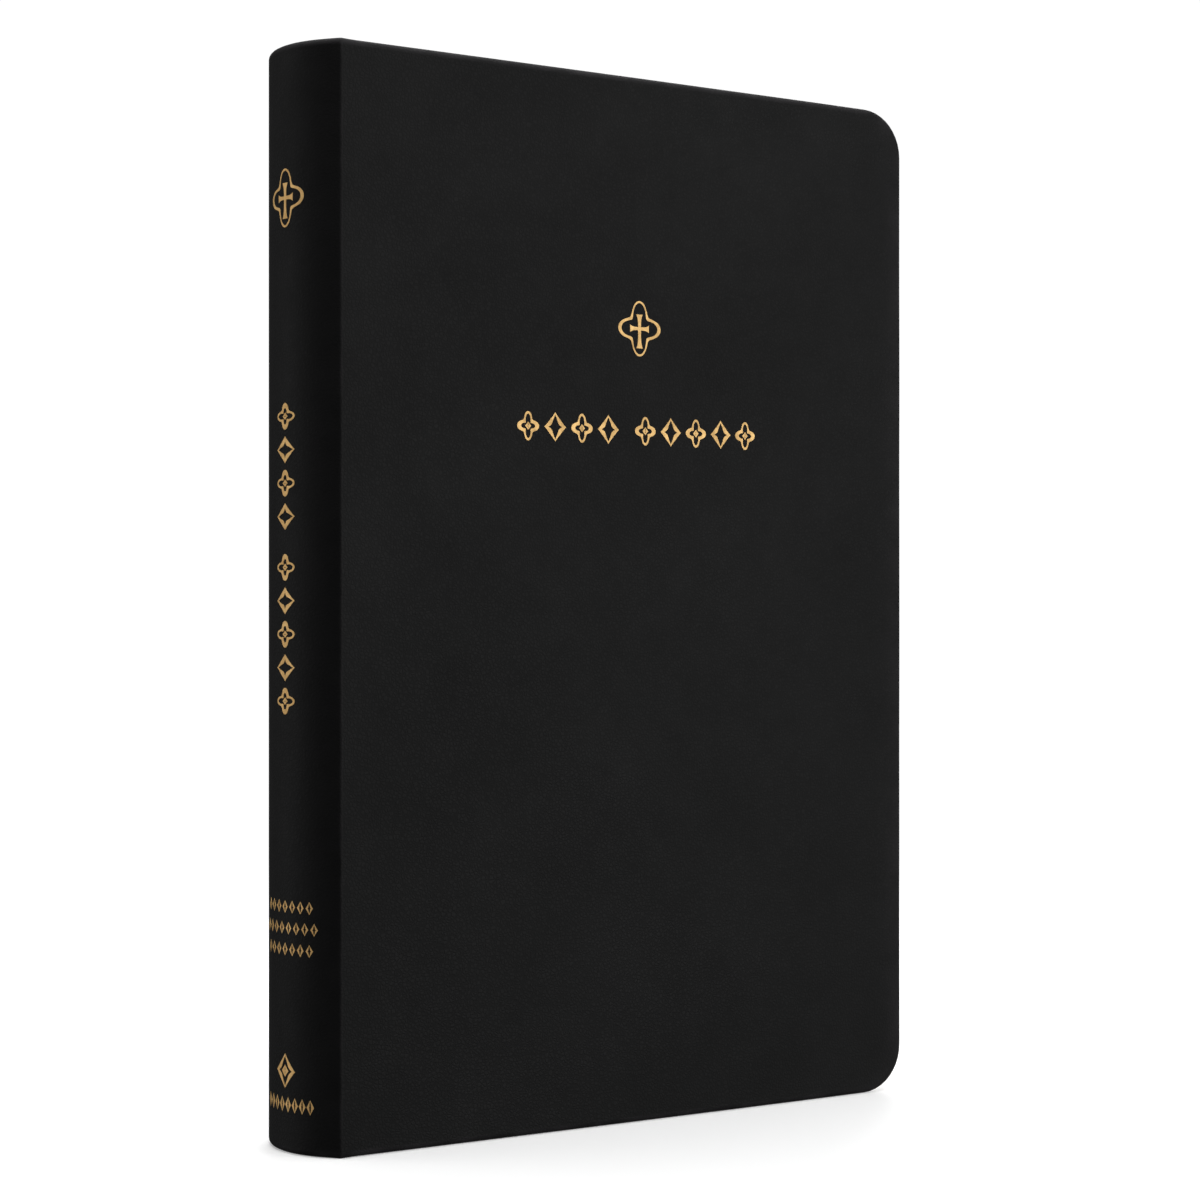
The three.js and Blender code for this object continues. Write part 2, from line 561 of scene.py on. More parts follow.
class EffectGroup:
    """An effect that several materials share, as a node group that is built once."""

    name = ""
    inputs: dict[str, float] = {}
    outputs: tuple[str, ...] = ()

    def build(self, nodes: NodeTree, given: bpy.types.Node) -> dict[str, Output]:
        """Make the group's nodes and return what feeds each output."""
        raise NotImplementedError

    def group(self) -> bpy.types.NodeTree:
        """The node group, made on first use.

        Returns:
            The group's tree.
        """
        found = bpy.data.node_groups.get(self.name)
        if found:
            return found
        tree = bpy.data.node_groups.new(self.name, "ShaderNodeTree")
        for name, value in self.inputs.items():
            socket = tree.interface.new_socket(name, in_out="INPUT", socket_type="NodeSocketFloat")
            socket.default_value = value
        for name in self.outputs:
            tree.interface.new_socket(name, in_out="OUTPUT", socket_type="NodeSocketFloat")
        nodes = NodeTree(tree)
        given = nodes.add("NodeGroupInput")
        nodes.add("NodeGroupOutput", self.build(nodes, given))
        return tree

    def use(self, nodes: NodeTree, **values: float) -> bpy.types.bpy_prop_collection:
        """Place the group in a material with its inputs' values, and return its outputs."""
        inputs = {name.capitalize(): value for name, value in values.items()}
        return nodes.add("ShaderNodeGroup", inputs, node_tree=self.group()).outputs


class Pebble(EffectGroup):
    """The fine pebbled grain that is rolled into imitation leather."""

    name = "pebble_grain"
    inputs = {"Size": 0.7 * MM, "Softness": 0.35}
    outputs = ("Height", "Valleys")
    drift_scale = 0.35
    drift_reach = 0.6 * MM
    fine_scale = 3.0
    fine_share = 0.3

    def build(self, nodes: NodeTree, given: bpy.types.Node) -> dict[str, Output]:
        """Cells with worn tops, bent by a noise so that no two are alike.

        Args:
            nodes: The group's nodes.
            given: The group's input node.

        Returns:
            The height of the grain and a mask of the valleys between cells.
        """
        scale = nodes.maths("DIVIDE", 1.0, given.outputs["Size"])
        coarse = nodes.maths("MULTIPLY", scale, self.drift_scale)
        place = nodes.place()
        drift = nodes.add("ShaderNodeTexNoise", {"Vector": place, "Scale": coarse, "Detail": 2.0})
        shift = nodes.add(
            "ShaderNodeVectorMath",
            {0: drift.outputs["Color"], "Scale": self.drift_reach},
            operation="SCALE",
        )
        bent = nodes.add("ShaderNodeVectorMath", {0: place, 1: shift.outputs[0]}, operation="ADD")
        cells = nodes.add(
            "ShaderNodeTexVoronoi",
            {"Vector": bent.outputs[0], "Scale": scale},
            feature="DISTANCE_TO_EDGE",
        )
        tops = nodes.add(
            "ShaderNodeMapRange",
            {"Value": cells.outputs["Distance"], "From Max": given.outputs["Softness"]},
            interpolation_type="SMOOTHSTEP",
        ).outputs["Result"]
        fine = nodes.noise(nodes.maths("MULTIPLY", scale, self.fine_scale), 4.0)
        height = nodes.between(self.fine_share, tops, fine)
        return {"Height": height, "Valleys": nodes.maths("SUBTRACT", 1.0, tops)}


class Clouding(EffectGroup):
    """Soft patches of slightly different shade, from handling and from the dye."""

    name = "clouding"
    inputs = {"Size": 30.0 * MM, "Contrast": 1.0}
    outputs = ("Mask",)
    small_scale = 5.0
    small_share = 0.35
    spread = 2.4

    def build(self, nodes: NodeTree, given: bpy.types.Node) -> dict[str, Output]:
        """Two sizes of soft noise, spread to nearly the full range.

        Args:
            nodes: The group's nodes.
            given: The group's input node.

        Returns:
            The mask, from 0 to 1.
        """
        scale = nodes.maths("DIVIDE", 1.0, given.outputs["Size"])
        broad = nodes.noise(scale, 2.0)
        small = nodes.noise(nodes.maths("MULTIPLY", scale, self.small_scale))
        centred = nodes.maths("SUBTRACT", nodes.between(self.small_share, broad, small), 0.5)
        spread = nodes.maths("MULTIPLY", given.outputs["Contrast"], self.spread)
        wide = nodes.maths("MULTIPLY", centred, spread)
        return {"Mask": nodes.held(nodes.maths("ADD", wide, 0.5))}


class EdgeWearAndHighlight(EffectGroup):
    """The ridges and rolled edges of the surface, broken up by a noise: where hands and shelves rub, and a painted
    highlight along the edges.
    """

    name = "edge_wear_and_highlight"
    inputs = {"Reach": 0.04, "Amount": 0.6}
    outputs = ("Mask",)
    patch_scale = 160.0
    patch_edges = (0.35, 0.65)
    least = 0.35

    def build(self, nodes: NodeTree, given: bpy.types.Node) -> dict[str, Output]:
        """A mask of outward ridges.

        Args:
            nodes: The group's nodes.
            given: The group's input node.

        Returns:
            The mask, from 0 to 1.
        """
        pointed = nodes.add("ShaderNodeNewGeometry").outputs["Pointiness"]
        sharp = nodes.maths("DIVIDE", nodes.maths("SUBTRACT", pointed, 0.5), given.outputs["Reach"])
        patches = nodes.noise(self.patch_scale, 4.0)
        broken = nodes.span(patches, *self.patch_edges, self.least, 1.0)
        return {"Mask": nodes.held(nodes.all_of(sharp, broken, given.outputs["Amount"]))}


class Fibre(EffectGroup):
    """Short fibres lying one way, as in paper and card."""

    name = "fibre"
    inputs = {"Length": 2.0 * MM}
    outputs = ("Height", "Flecks")
    slimness = 5.0
    fleck_slimness = 1.3
    fleck_edges = (0.68, 0.8)

    def build(self, nodes: NodeTree, given: bpy.types.Node) -> dict[str, Output]:
        """Noise that is drawn out up the height of the sheet, and sparse darker flecks.

        Args:
            nodes: The group's nodes.
            given: The group's input node.

        Returns:
            The height, and a mask of the flecks.
        """
        scale = nodes.maths("DIVIDE", 1.0, given.outputs["Length"])
        drawn = nodes.stretched((self.slimness, self.slimness, 1.0))
        spots = nodes.stretched((self.fleck_slimness, self.fleck_slimness, 1.0))
        flecks = nodes.span(nodes.noise(scale, 2.0, spots), *self.fleck_edges, 0.0, 1.0)
        return {"Height": nodes.noise(scale, 5.0, drawn), "Flecks": flecks}


class Weave(EffectGroup):
    """Threads over and under, seen from the sheet's side: one set upright, one level."""

    name = "weave"
    inputs = {"Pitch": 0.6 * MM}
    outputs = ("Height", "Holes")
    hole_edges = (-0.6, -0.2)

    def build(self, nodes: NodeTree, given: bpy.types.Node) -> dict[str, Output]:
        """Two crossed rows of round threads.

        Args:
            nodes: The group's nodes.
            given: The group's input node.

        Returns:
            The height of the threads, and a mask of the holes between them.
        """
        turn = nodes.maths("DIVIDE", 2.0 * math.pi, given.outputs["Pitch"])
        axes = nodes.axes(nodes.place())
        level = nodes.maths("ADD", axes["X"], axes["Y"])
        upright = nodes.maths("SINE", nodes.maths("MULTIPLY", level, turn))
        across = nodes.maths("SINE", nodes.maths("MULTIPLY", axes["Z"], turn))
        over = nodes.maths("MAXIMUM", upright, across)
        height = nodes.span(over, -1.0, 1.0, 0.0, 1.0)
        return {"Height": height, "Holes": nodes.span(over, *self.hole_edges, 1.0, 0.0)}


PEBBLE = Pebble()
CLOUDING = Clouding()
EDGE_WEAR_AND_HIGHLIGHT = EdgeWearAndHighlight()
FIBRE = Fibre()
WEAVE = Weave()


# ---------------------------------------------------------------------------------------------
# Finishes
# ---------------------------------------------------------------------------------------------


@dataclass(frozen=True)
class Finish:
    """A surface finish: its name, its two shades and how rough it is."""

    name: str
    dark: Colour
    light: Colour
    roughness: float

    def shader_inputs(self, nodes: NodeTree) -> dict[str, object]:
        """What feeds the Principled shader; each finish has its own."""
        raise NotImplementedError

    def material(self) -> bpy.types.Material:
        """The material, made on first use.

        Returns:
            The material with its nodes.
        """
        found = bpy.data.materials.get(self.name)
        if found:
            return found
        made = bpy.data.materials.new(self.name)
        made.use_nodes = True
        nodes = NodeTree(made.node_tree)
        surface = nodes.add("ShaderNodeBsdfPrincipled", self.shader_inputs(nodes))
        nodes.add("ShaderNodeOutputMaterial", {"Surface": surface.outputs["BSDF"]})
        return made


@dataclass(frozen=True)
class LeatherFinish(Finish):
    """Matt imitation leather with a fine rolled grain."""

    grain: float = 0.75 * MM
    grain_softness: float = 0.3
    grain_relief: Relief = (0.05 * MM, 0.7)
    swell_scale: float = 55.0
    swell_relief: Relief = (0.25 * MM, 0.35)
    cloud_size: float = 28.0 * MM
    # how far the painted shade darkens the grain's valleys
    valley_painted_shade: float = 0.5
    valley_roughness: float = 0.08
    smear: float = 0.05
    wear_and_highlight_reach: float = 0.05
    wear_and_highlight_amount: float = 0.8
    # colour of the ridges and edges: partly rubbing wear, partly a painted highlight
    worn: Colour = (0.05, 0.046, 0.05)
    gloss: float = 0.125
    sheen: float = 0.02

    def shader_inputs(self, nodes: NodeTree) -> dict[str, object]:
        """Clouded black with pebbles, with painted shade in the grain's valleys, and a little paler on the ridges
        and edges, partly where it is rubbed and partly as a painted highlight.

        Args:
            nodes: The material's nodes.

        Returns:
            The shader's inputs.
        """
        grain = PEBBLE.use(nodes, size=self.grain, softness=self.grain_softness)
        clouds = CLOUDING.use(nodes, size=self.cloud_size)["Mask"]
        # painted highlight: the ridges and rolled edges are made paler, partly as rubbing wear
        wear_and_highlight = EDGE_WEAR_AND_HIGHLIGHT.use(nodes, reach=self.wear_and_highlight_reach, amount=self.wear_and_highlight_amount)["Mask"]
        base = nodes.mix(clouds, self.dark, self.light)
        # painted shade: the grain's valleys are darkened towards the dark colour
        valleys = nodes.maths("MULTIPLY", grain["Valleys"], self.valley_painted_shade)
        pressed = nodes.mix(valleys, base, self.dark)
        smear = nodes.span(clouds, 0.0, 1.0, self.roughness - self.smear, self.roughness + self.smear)
        dull = nodes.maths("MULTIPLY", grain["Valleys"], self.valley_roughness)
        swell = nodes.bump(nodes.noise(self.swell_scale, 2.0), self.swell_relief)
        return {
            "Base Color": nodes.mix(wear_and_highlight, pressed, self.worn),
            "Roughness": nodes.maths("ADD", smear, dull),
            "Normal": nodes.bump(grain["Height"], self.grain_relief, swell),
            "Specular IOR Level": self.gloss,
            "Sheen Weight": self.sheen,
            "Sheen Roughness": 0.5,
        }


@dataclass(frozen=True)
class FoilFinish(Finish):
    """Hot-stamped metal foil, with the leather's grain showing through it."""

    patch_size: float = 2.5 * MM
    patch_contrast: float = 1.2
    streak_scale: float = 900.0
    streak_slimness: float = 0.25
    streak_share: float = 0.4
    grain_relief: Relief = (0.03 * MM, 0.35)
    shade_edges: tuple[float, float] = (0.2, 0.8)
    duller: float = 0.08
    smoother: float = 0.06
    metal: float = 0.6

    def shader_inputs(self, nodes: NodeTree) -> dict[str, object]:
        """Gold with faint rubbed patches.

        Args:
            nodes: The material's nodes.

        Returns:
            The shader's inputs.
        """
        patches = CLOUDING.use(nodes, size=self.patch_size, contrast=self.patch_contrast)["Mask"]
        drawn = nodes.stretched((1.0, 1.0, self.streak_slimness))
        shade = nodes.between(self.streak_share, patches, nodes.noise(self.streak_scale, 3.0, drawn))
        grain = PEBBLE.use(nodes, size=LEATHER.grain, softness=LEATHER.grain_softness)
        ends = (self.roughness + self.duller, self.roughness - self.smoother)
        return {
            "Base Color": nodes.mix(shade, self.dark, self.light),
            "Metallic": self.metal,
            "Roughness": nodes.span(shade, *self.shade_edges, *ends),
            "Normal": nodes.bump(grain["Height"], self.grain_relief),
        }


@dataclass(frozen=True)
class PaperFinish(Finish):
    """Paper or card with fibres."""

    fibre: float = 2.0 * MM
    relief: Relief = (0.02 * MM, 0.5)
    cloud_size: float = 45.0 * MM
    fleck_shade: float = 0.35
    duller: float = 0.06
    gloss: float = 0.35

    def shader_inputs(self, nodes: NodeTree) -> dict[str, object]:
        """Two close shades, with fibres and a few flecks.

        Args:
            nodes: The material's nodes.

        Returns:
            The shader's inputs.
        """
        fibre = FIBRE.use(nodes, length=self.fibre)
        clouds = CLOUDING.use(nodes, size=self.cloud_size)["Mask"]
        sheet = nodes.mix(clouds, self.dark, self.light)
        flecks = nodes.maths("MULTIPLY", fibre["Flecks"], self.fleck_shade)
        return {
            "Base Color": nodes.mix(flecks, sheet, self.dark),
            "Roughness": nodes.span(clouds, 0.0, 1.0, self.roughness, self.roughness + self.duller),
            "Normal": nodes.bump(fibre["Height"], self.relief),
            "Specular IOR Level": self.gloss,
        }


class Print(Enum):
    """What is printed on a leaf: grey bars in place of words, or a plain frame."""

    COLUMNS = 0
    FRAME = 1


@dataclass(frozen=True)
class PrintedPaperFinish(PaperFinish):
    """Paper printed with two columns of grey bars, or with a frame; it holds no lettering."""

    layout: Print = Print.COLUMNS
    ink: Colour = (0.36, 0.33, 0.28)
    gutter_margin: float = 17.0 * MM
    foot_margin: float = 14.0 * MM
    head_margin: float = 15.0 * MM
    column: float = 52.0 * MM
    column_gap: float = 5.0 * MM
    line_pitch: float = 2.9 * MM
    line_share: float = 0.4
    full_lines: float = 0.78
    shortest_line: float = 0.3
    words_to_metre: float = 560.0
    word_shift: float = 3.7
    word_gap: float = 0.41
    thick_rule: tuple[float, float] = (-0.7 * MM, 0.0)
    thin_rule: tuple[float, float] = (-2.0 * MM, -1.7 * MM)

    def column_bars(self, nodes: NodeTree, x: Output, z: Output) -> Output:
        """Rows of bars in two columns, some of them short, as at the end of a paragraph.

        Args:
            nodes: The material's nodes.
            x: Distance from the gutter.
            z: Height.

        Returns:
            The mask of the ink.
        """
        pitch = self.column + self.column_gap
        along = nodes.maths("SUBTRACT", x, self.gutter_margin)
        column = nodes.maths("FLOOR", nodes.maths("DIVIDE", along, pitch))
        row = nodes.maths("FLOOR", nodes.maths("DIVIDE", z, self.line_pitch))
        line = nodes.add("ShaderNodeCombineXYZ", {"X": column, "Y": row}).outputs[0]
        chance = nodes.add("ShaderNodeTexWhiteNoise", {"Vector": line}, noise_dimensions="2D")
        shortest = self.shortest_line * self.column
        length = nodes.span(chance.outputs["Value"], self.full_lines, 1.0, self.column, shortest)
        letter_x = nodes.maths("MULTIPLY", x, self.words_to_metre)
        letter_y = nodes.maths("MULTIPLY", row, self.word_shift)
        letters = nodes.add("ShaderNodeCombineXYZ", {"X": letter_x, "Y": letter_y}).outputs[0]
        level = nodes.maths("FLOORED_MODULO", z, self.line_pitch)
        return nodes.all_of(
            nodes.inside(along, 0.0, 2.0 * self.column + self.column_gap),
            nodes.maths("LESS_THAN", nodes.maths("FLOORED_MODULO", along, pitch), length),
            nodes.maths("GREATER_THAN", nodes.noise(1.0, 1.0, letters), self.word_gap),
            nodes.maths("LESS_THAN", level, self.line_share * self.line_pitch),
            nodes.inside(z, SIZES.page_tail + self.foot_margin, SIZES.page_head - self.head_margin),
        )

    def frame_line(self, nodes: NodeTree, x: Output, z: Output) -> Output:
        """Two thin rules round the middle of the leaf.

        Args:
            nodes: The material's nodes.
            x: Distance from the gutter.
            z: Height.

        Returns:
            The mask of the ink.
        """
        width = SIZES.page_fore_edge - SIZES.gutter
        middle_x = (width + self.gutter_margin / 2.0) / 2.0
        middle_z = (SIZES.page_tail + SIZES.page_head) / 2.0
        out_x = nodes.beyond(x, middle_x, width - middle_x - self.foot_margin)
        out_z = nodes.beyond(z, middle_z, SIZES.page_head - middle_z - self.head_margin)
        out = nodes.maths("MAXIMUM", out_x, out_z)
        thick, thin = nodes.inside(out, *self.thick_rule), nodes.inside(out, *self.thin_rule)
        return nodes.maths("MAXIMUM", thick, thin)

    def shader_inputs(self, nodes: NodeTree) -> dict[str, object]:
        """The paper, with the print over its colour.

        Args:
            nodes: The material's nodes.

        Returns:
            The shader's inputs.
        """
        inputs = super().shader_inputs(nodes)
        axes = nodes.axes(nodes.attribute("flat_place")["Vector"])
        x = nodes.maths("SUBTRACT", axes["X"], SIZES.gutter)
        draw = self.column_bars if self.layout is Print.COLUMNS else self.frame_line
        inputs["Base Color"] = nodes.mix(draw(nodes, x, axes["Z"]), inputs["Base Color"], self.ink)
        return inputs


@dataclass(frozen=True)
class GiltEdgeFinish(Finish):
    """Gilded page edges: gold leaf over the ends of thin leaves, no two quite level."""

    paper: Colour = (0.72, 0.64, 0.48)
    rub_scale: float = 90.0
    rub_edges: tuple[float, float] = (0.6, 0.85)
    most_rubbed: float = 0.22
    bare_at: float = 0.7
    metal: tuple[float, float] = (0.95, 0.5)
    relief_scale: float = 1500.0
    relief: Relief = (0.01 * MM, 0.4)
    duller: float = 0.1

    def shader_inputs(self, nodes: NodeTree) -> dict[str, object]:
        """Gold that differs from leaf to leaf, rubbed through to paper in places.

        Args:
            nodes: The material's nodes.

        Returns:
            The shader's inputs.
        """
        tint = nodes.attribute("tint")["Fac"]
        patches = nodes.noise(self.rub_scale, 5.0)
        rubs = nodes.span(patches, *self.rub_edges, 0.0, self.most_rubbed)
        gold = nodes.mix(tint, self.dark, self.light)
        return {
            "Base Color": nodes.mix(rubs, gold, self.paper),
            "Metallic": nodes.span(rubs, 0.0, self.bare_at, *self.metal),
            "Roughness": nodes.span(tint, 0.0, 1.0, self.roughness + self.duller, self.roughness),
            "Normal": nodes.bump(nodes.noise(self.relief_scale, 2.0), self.relief),
        }


@dataclass(frozen=True)
class ClothFinish(Finish):
    """Open cotton cloth stiffened with size."""

    pitch: float = 0.7 * MM
    relief: Relief = (0.1 * MM, 0.8)
    cloud_size: float = 12.0 * MM
    hole_shade: float = 0.35
    duller: float = 0.05
    sheen: float = 0.15

    def shader_inputs(self, nodes: NodeTree) -> dict[str, object]:
        """Threads with darker holes between them.

        Args:
            nodes: The material's nodes.

        Returns:
            The shader's inputs.
        """
        weave = WEAVE.use(nodes, pitch=self.pitch)
        clouds = CLOUDING.use(nodes, size=self.cloud_size)["Mask"]
        threads = nodes.mix(clouds, self.dark, self.light)
        shadow = tuple(self.hole_shade * channel for channel in self.dark)
        return {
            "Base Color": nodes.mix(weave["Holes"], threads, shadow),
            "Roughness": nodes.span(clouds, 0.0, 1.0, self.roughness, self.roughness + self.duller),
            "Normal": nodes.bump(weave["Height"], self.relief),
            "Sheen Weight": self.sheen,
        }


@dataclass(frozen=True)
class BandFinish(Finish):
    """Silk thread wound round the end bands, in two colours by turns."""

    strand_scale: float = 4000.0
    strand_slimness: float = 0.3
    strand_edges: tuple[float, float] = (0.3, 0.7)
    strand_relief: Relief = (0.04 * MM, 0.6)
    strand_painted_shade: float = 0.75
    duller: float = 0.1
    sheen: float = 0.25

    def shader_inputs(self, nodes: NodeTree) -> dict[str, object]:
        """Dark and light threads, chosen by the tint of each turn, with painted shade in the grooves between
        strands.

        Args:
            nodes: The material's nodes.

        Returns:
            The shader's inputs.
        """
        tint = nodes.attribute("tint")["Fac"]
        drawn = nodes.stretched((1.0, 1.0, self.strand_slimness))
        strands = nodes.noise(self.strand_scale, 3.0, drawn)
        # painted shade: the low parts of the strands, the grooves of the bump, are darker
        shade = nodes.span(strands, *self.strand_edges, self.strand_painted_shade, 1.0)
        silk = nodes.mix(nodes.maths("GREATER_THAN", tint, 0.5), self.dark, self.light)
        ends = (self.roughness + self.duller, self.roughness)
        return {
            "Base Color": nodes.mix(shade, (0.0, 0.0, 0.0), silk),
            "Roughness": nodes.span(strands, *self.strand_edges, *ends),
            "Normal": nodes.bump(strands, self.strand_relief),
            "Sheen Weight": self.sheen,
        }


@dataclass(frozen=True)
class GlueFinish(Finish):
    """The glued and trimmed backs of the sections: folded paper under dry glue, gilt at the ends."""

    fold: float = 0.45 * MM
    fold_relief: Relief = (0.03 * MM, 0.5)
    fold_start: float = -0.2
    fold_shade: float = 0.8
    cloud_size: float = 5.0 * MM
    duller: float = 0.1
    gilt_metal: float = 0.95

    def shader_inputs(self, nodes: NodeTree) -> dict[str, object]:
        """Lines across the thickness of the book, blurred where the glue is thick.

        Args:
            nodes: The material's nodes.

        Returns:
            The shader's inputs.
        """
        across = nodes.axes(nodes.place())["Y"]
        folds = nodes.maths("SINE", nodes.maths("MULTIPLY", across, 2.0 * math.pi / self.fold))
        clouds = CLOUDING.use(nodes, size=self.cloud_size)["Mask"]
        marks = nodes.span(folds, self.fold_start, 1.0, 0.0, self.fold_shade)
        lines = nodes.maths("MULTIPLY", marks, clouds)
        upright = nodes.axes(nodes.add("ShaderNodeNewGeometry").outputs["Normal"])["Z"]
        ends = nodes.maths("GREATER_THAN", nodes.maths("ABSOLUTE", upright), 0.5)
        glued = nodes.mix(lines, self.light, self.dark)
        gilt = nodes.mix(nodes.span(folds, -1.0, 1.0, 0.0, 1.0), GILT.dark, GILT.light)
        return {
            "Base Color": nodes.mix(ends, glued, gilt),
            "Metallic": nodes.maths("MULTIPLY", ends, self.gilt_metal),
            "Roughness": nodes.span(clouds, 0.0, 1.0, self.roughness + self.duller, self.roughness),
            "Normal": nodes.bump(folds, self.fold_relief),
        }


PAPER_DARK = (0.78, 0.72, 0.59)
PAPER_LIGHT = (0.84, 0.79, 0.67)
LEATHER = LeatherFinish("black_leather", (0.0028, 0.0029, 0.0030), (0.0040, 0.0041, 0.0041), 0.56)
FOIL = FoilFinish("gold_foil", (0.50, 0.31, 0.115), (0.78, 0.51, 0.20), 0.54)
# the cover's gold foil, painted brighter for the spine to make up for the dimmer light that falls there
SPINE_FOIL_PAINTED_BRIGHTER = FoilFinish("gold_foil_spine_painted_brighter", (0.82, 0.52, 0.20), (1.0, 0.67, 0.28), 0.62)
PAGE = PrintedPaperFinish("printed_page", PAPER_DARK, PAPER_LIGHT, 0.72)
FRAMED = PrintedPaperFinish("framed_leaf", PAPER_DARK, PAPER_LIGHT, 0.72, layout=Print.FRAME)
ENDPAPER = PaperFinish(
    "black_endpaper", (0.010, 0.010, 0.011), (0.016, 0.016, 0.017), 0.62, relief=(0.05 * MM, 0.5)
)
KRAFT = PaperFinish("kraft_paper", (0.30, 0.19, 0.09), (0.38, 0.25, 0.13), 0.8, fibre=4.0 * MM)
CARD = PaperFinish(
    "grey_card", (0.22, 0.20, 0.16), (0.32, 0.29, 0.24), 0.85, relief=(0.05 * MM, 0.5)
)
GILT = GiltEdgeFinish("gilt_edge", (0.32, 0.20, 0.065), (0.50, 0.335, 0.125), 0.42)
CLOTH = ClothFinish("open_cloth", (0.52, 0.48, 0.39), (0.66, 0.62, 0.52), 0.9)
BAND = BandFinish("band_silk", (0.012, 0.012, 0.013), (0.62, 0.42, 0.15), 0.5)
GLUE = GlueFinish("glued_backs", (0.42, 0.35, 0.22), (0.74, 0.67, 0.5), 0.45)


# ---------------------------------------------------------------------------------------------
# The case: leather over the covers and the spine
# ---------------------------------------------------------------------------------------------


@dataclass(frozen=True)
class CaseSurface:
    """The outside of the leather, measured along its girth.

    A distance s above 0 is on the front cover, from the crease to the fore edge. Below 0 it runs
    round the spine to the back crease.
    """

    crown: float = 0.8 * MM
    end_crown: float = 0.3
    droop: float = 0.3 * MM
    droop_share: float = 0.2
    fillet: float = 0.3 * MM
    turn_zone: float = 2.5 * MM
    wave: float = 0.05 * MM
    wave_length: float = 26.0 * MM

    def swell(self, s: float, z: float) -> float:
        """How far the front cover stands out of its plane.

        Args:
            s: Distance from the crease.
            z: Height.

        Returns:
            The distance outwards, below 0 where the soft cover droops in at the fore edge.
        """
        along = min(1.0, max(0.0, s / SIZES.cover_width))
        up = z / SIZES.height
        ends = self.end_crown + (1.0 - self.end_crown) * math.sin(math.pi * up)
        bow = self.crown * math.sin(math.pi * along) * ends
        curl = self.droop * smooth((along - 1.0 + self.droop_share) / self.droop_share)
        place = Vector((s / self.wave_length, z / self.wave_length, 0.0))
        ripple = self.wave * noise.noise(place) * smooth(along / self.droop_share)
        return bow - curl + ripple

    @staticmethod
    def on_spine(s: float) -> Vector:
        """The point of the round spine at height 0.

        Args:
            s: Distance along the girth, below 0.

        Returns:
            The point in the frame.
        """
        radius = SIZES.spine_radius
        angle = SIZES.crease_angle + s / radius
        return Vector((SIZES.spine_centre - radius * math.cos(angle), -radius * math.sin(angle), 0.0))

    def on_cover(self, s: float, z: float) -> Vector:
        """The point of the front cover at a distance s above 0, at height 0."""
        return Vector((SIZES.crease + s, -SIZES.half_thickness - self.swell(s, z), 0.0))

    def facing(self, s: float) -> float:
        """Angle of the outward direction, from -X towards -Y.

        Args:
            s: Distance along the girth.

        Returns:
            The angle, which turns evenly from the spine's to the cover's across a crease.
        """
        zone = self.turn_zone
        middle = -SIZES.spine_girth / 2.0
        if s < middle:
            return -self.facing(2.0 * middle - s)
        spine_angle = SIZES.crease_angle + min(s, -zone) / SIZES.spine_radius
        share = smooth((s + zone) / (2.0 * zone))
        return spine_angle + (math.pi / 2.0 - spine_angle) * share

    def outward(self, s: float) -> Vector:
        """The direction out of the leather."""
        angle = self.facing(s)
        return Vector((-math.cos(angle), -math.sin(angle), 0.0))

    def at(self, s: float, z: float, depth: float = 0.0) -> Vector:
        """The point at a distance along the girth, a height and a depth.

        Args:
            s: Distance along the girth.
            z: Height.
            depth: Distance inwards from the outside of the leather.

        Returns:
            The point in the frame.
        """
        middle = -SIZES.spine_girth / 2.0
        if s < middle:
            mirror = self.at(2.0 * middle - s, z, depth)
            return Vector((mirror.x, -mirror.y, mirror.z))
        if s <= -self.fillet:
            point = self.on_spine(s)
        elif s >= self.fillet:
            point = self.on_cover(s, z)
        else:
            share = (s + self.fillet) / (2.0 * self.fillet)
            corner = Vector((SIZES.crease, -SIZES.half_thickness, 0.0))
            first = self.on_spine(-self.fillet).lerp(corner, share)
            second = corner.lerp(self.on_cover(self.fillet, z), share)
            point = first.lerp(second, share)
        return point - depth * self.outward(s) + Vector((0.0, 0.0, z))


SURFACE = CaseSurface()


def blend_cover(piece: bpy.types.Object, side: Side) -> None:
    """Bake a piece's place into its mesh.

    Args:
        piece: The piece, with its final mesh.
        side: The cover that the piece belongs to; not used.
    """
    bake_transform(piece)


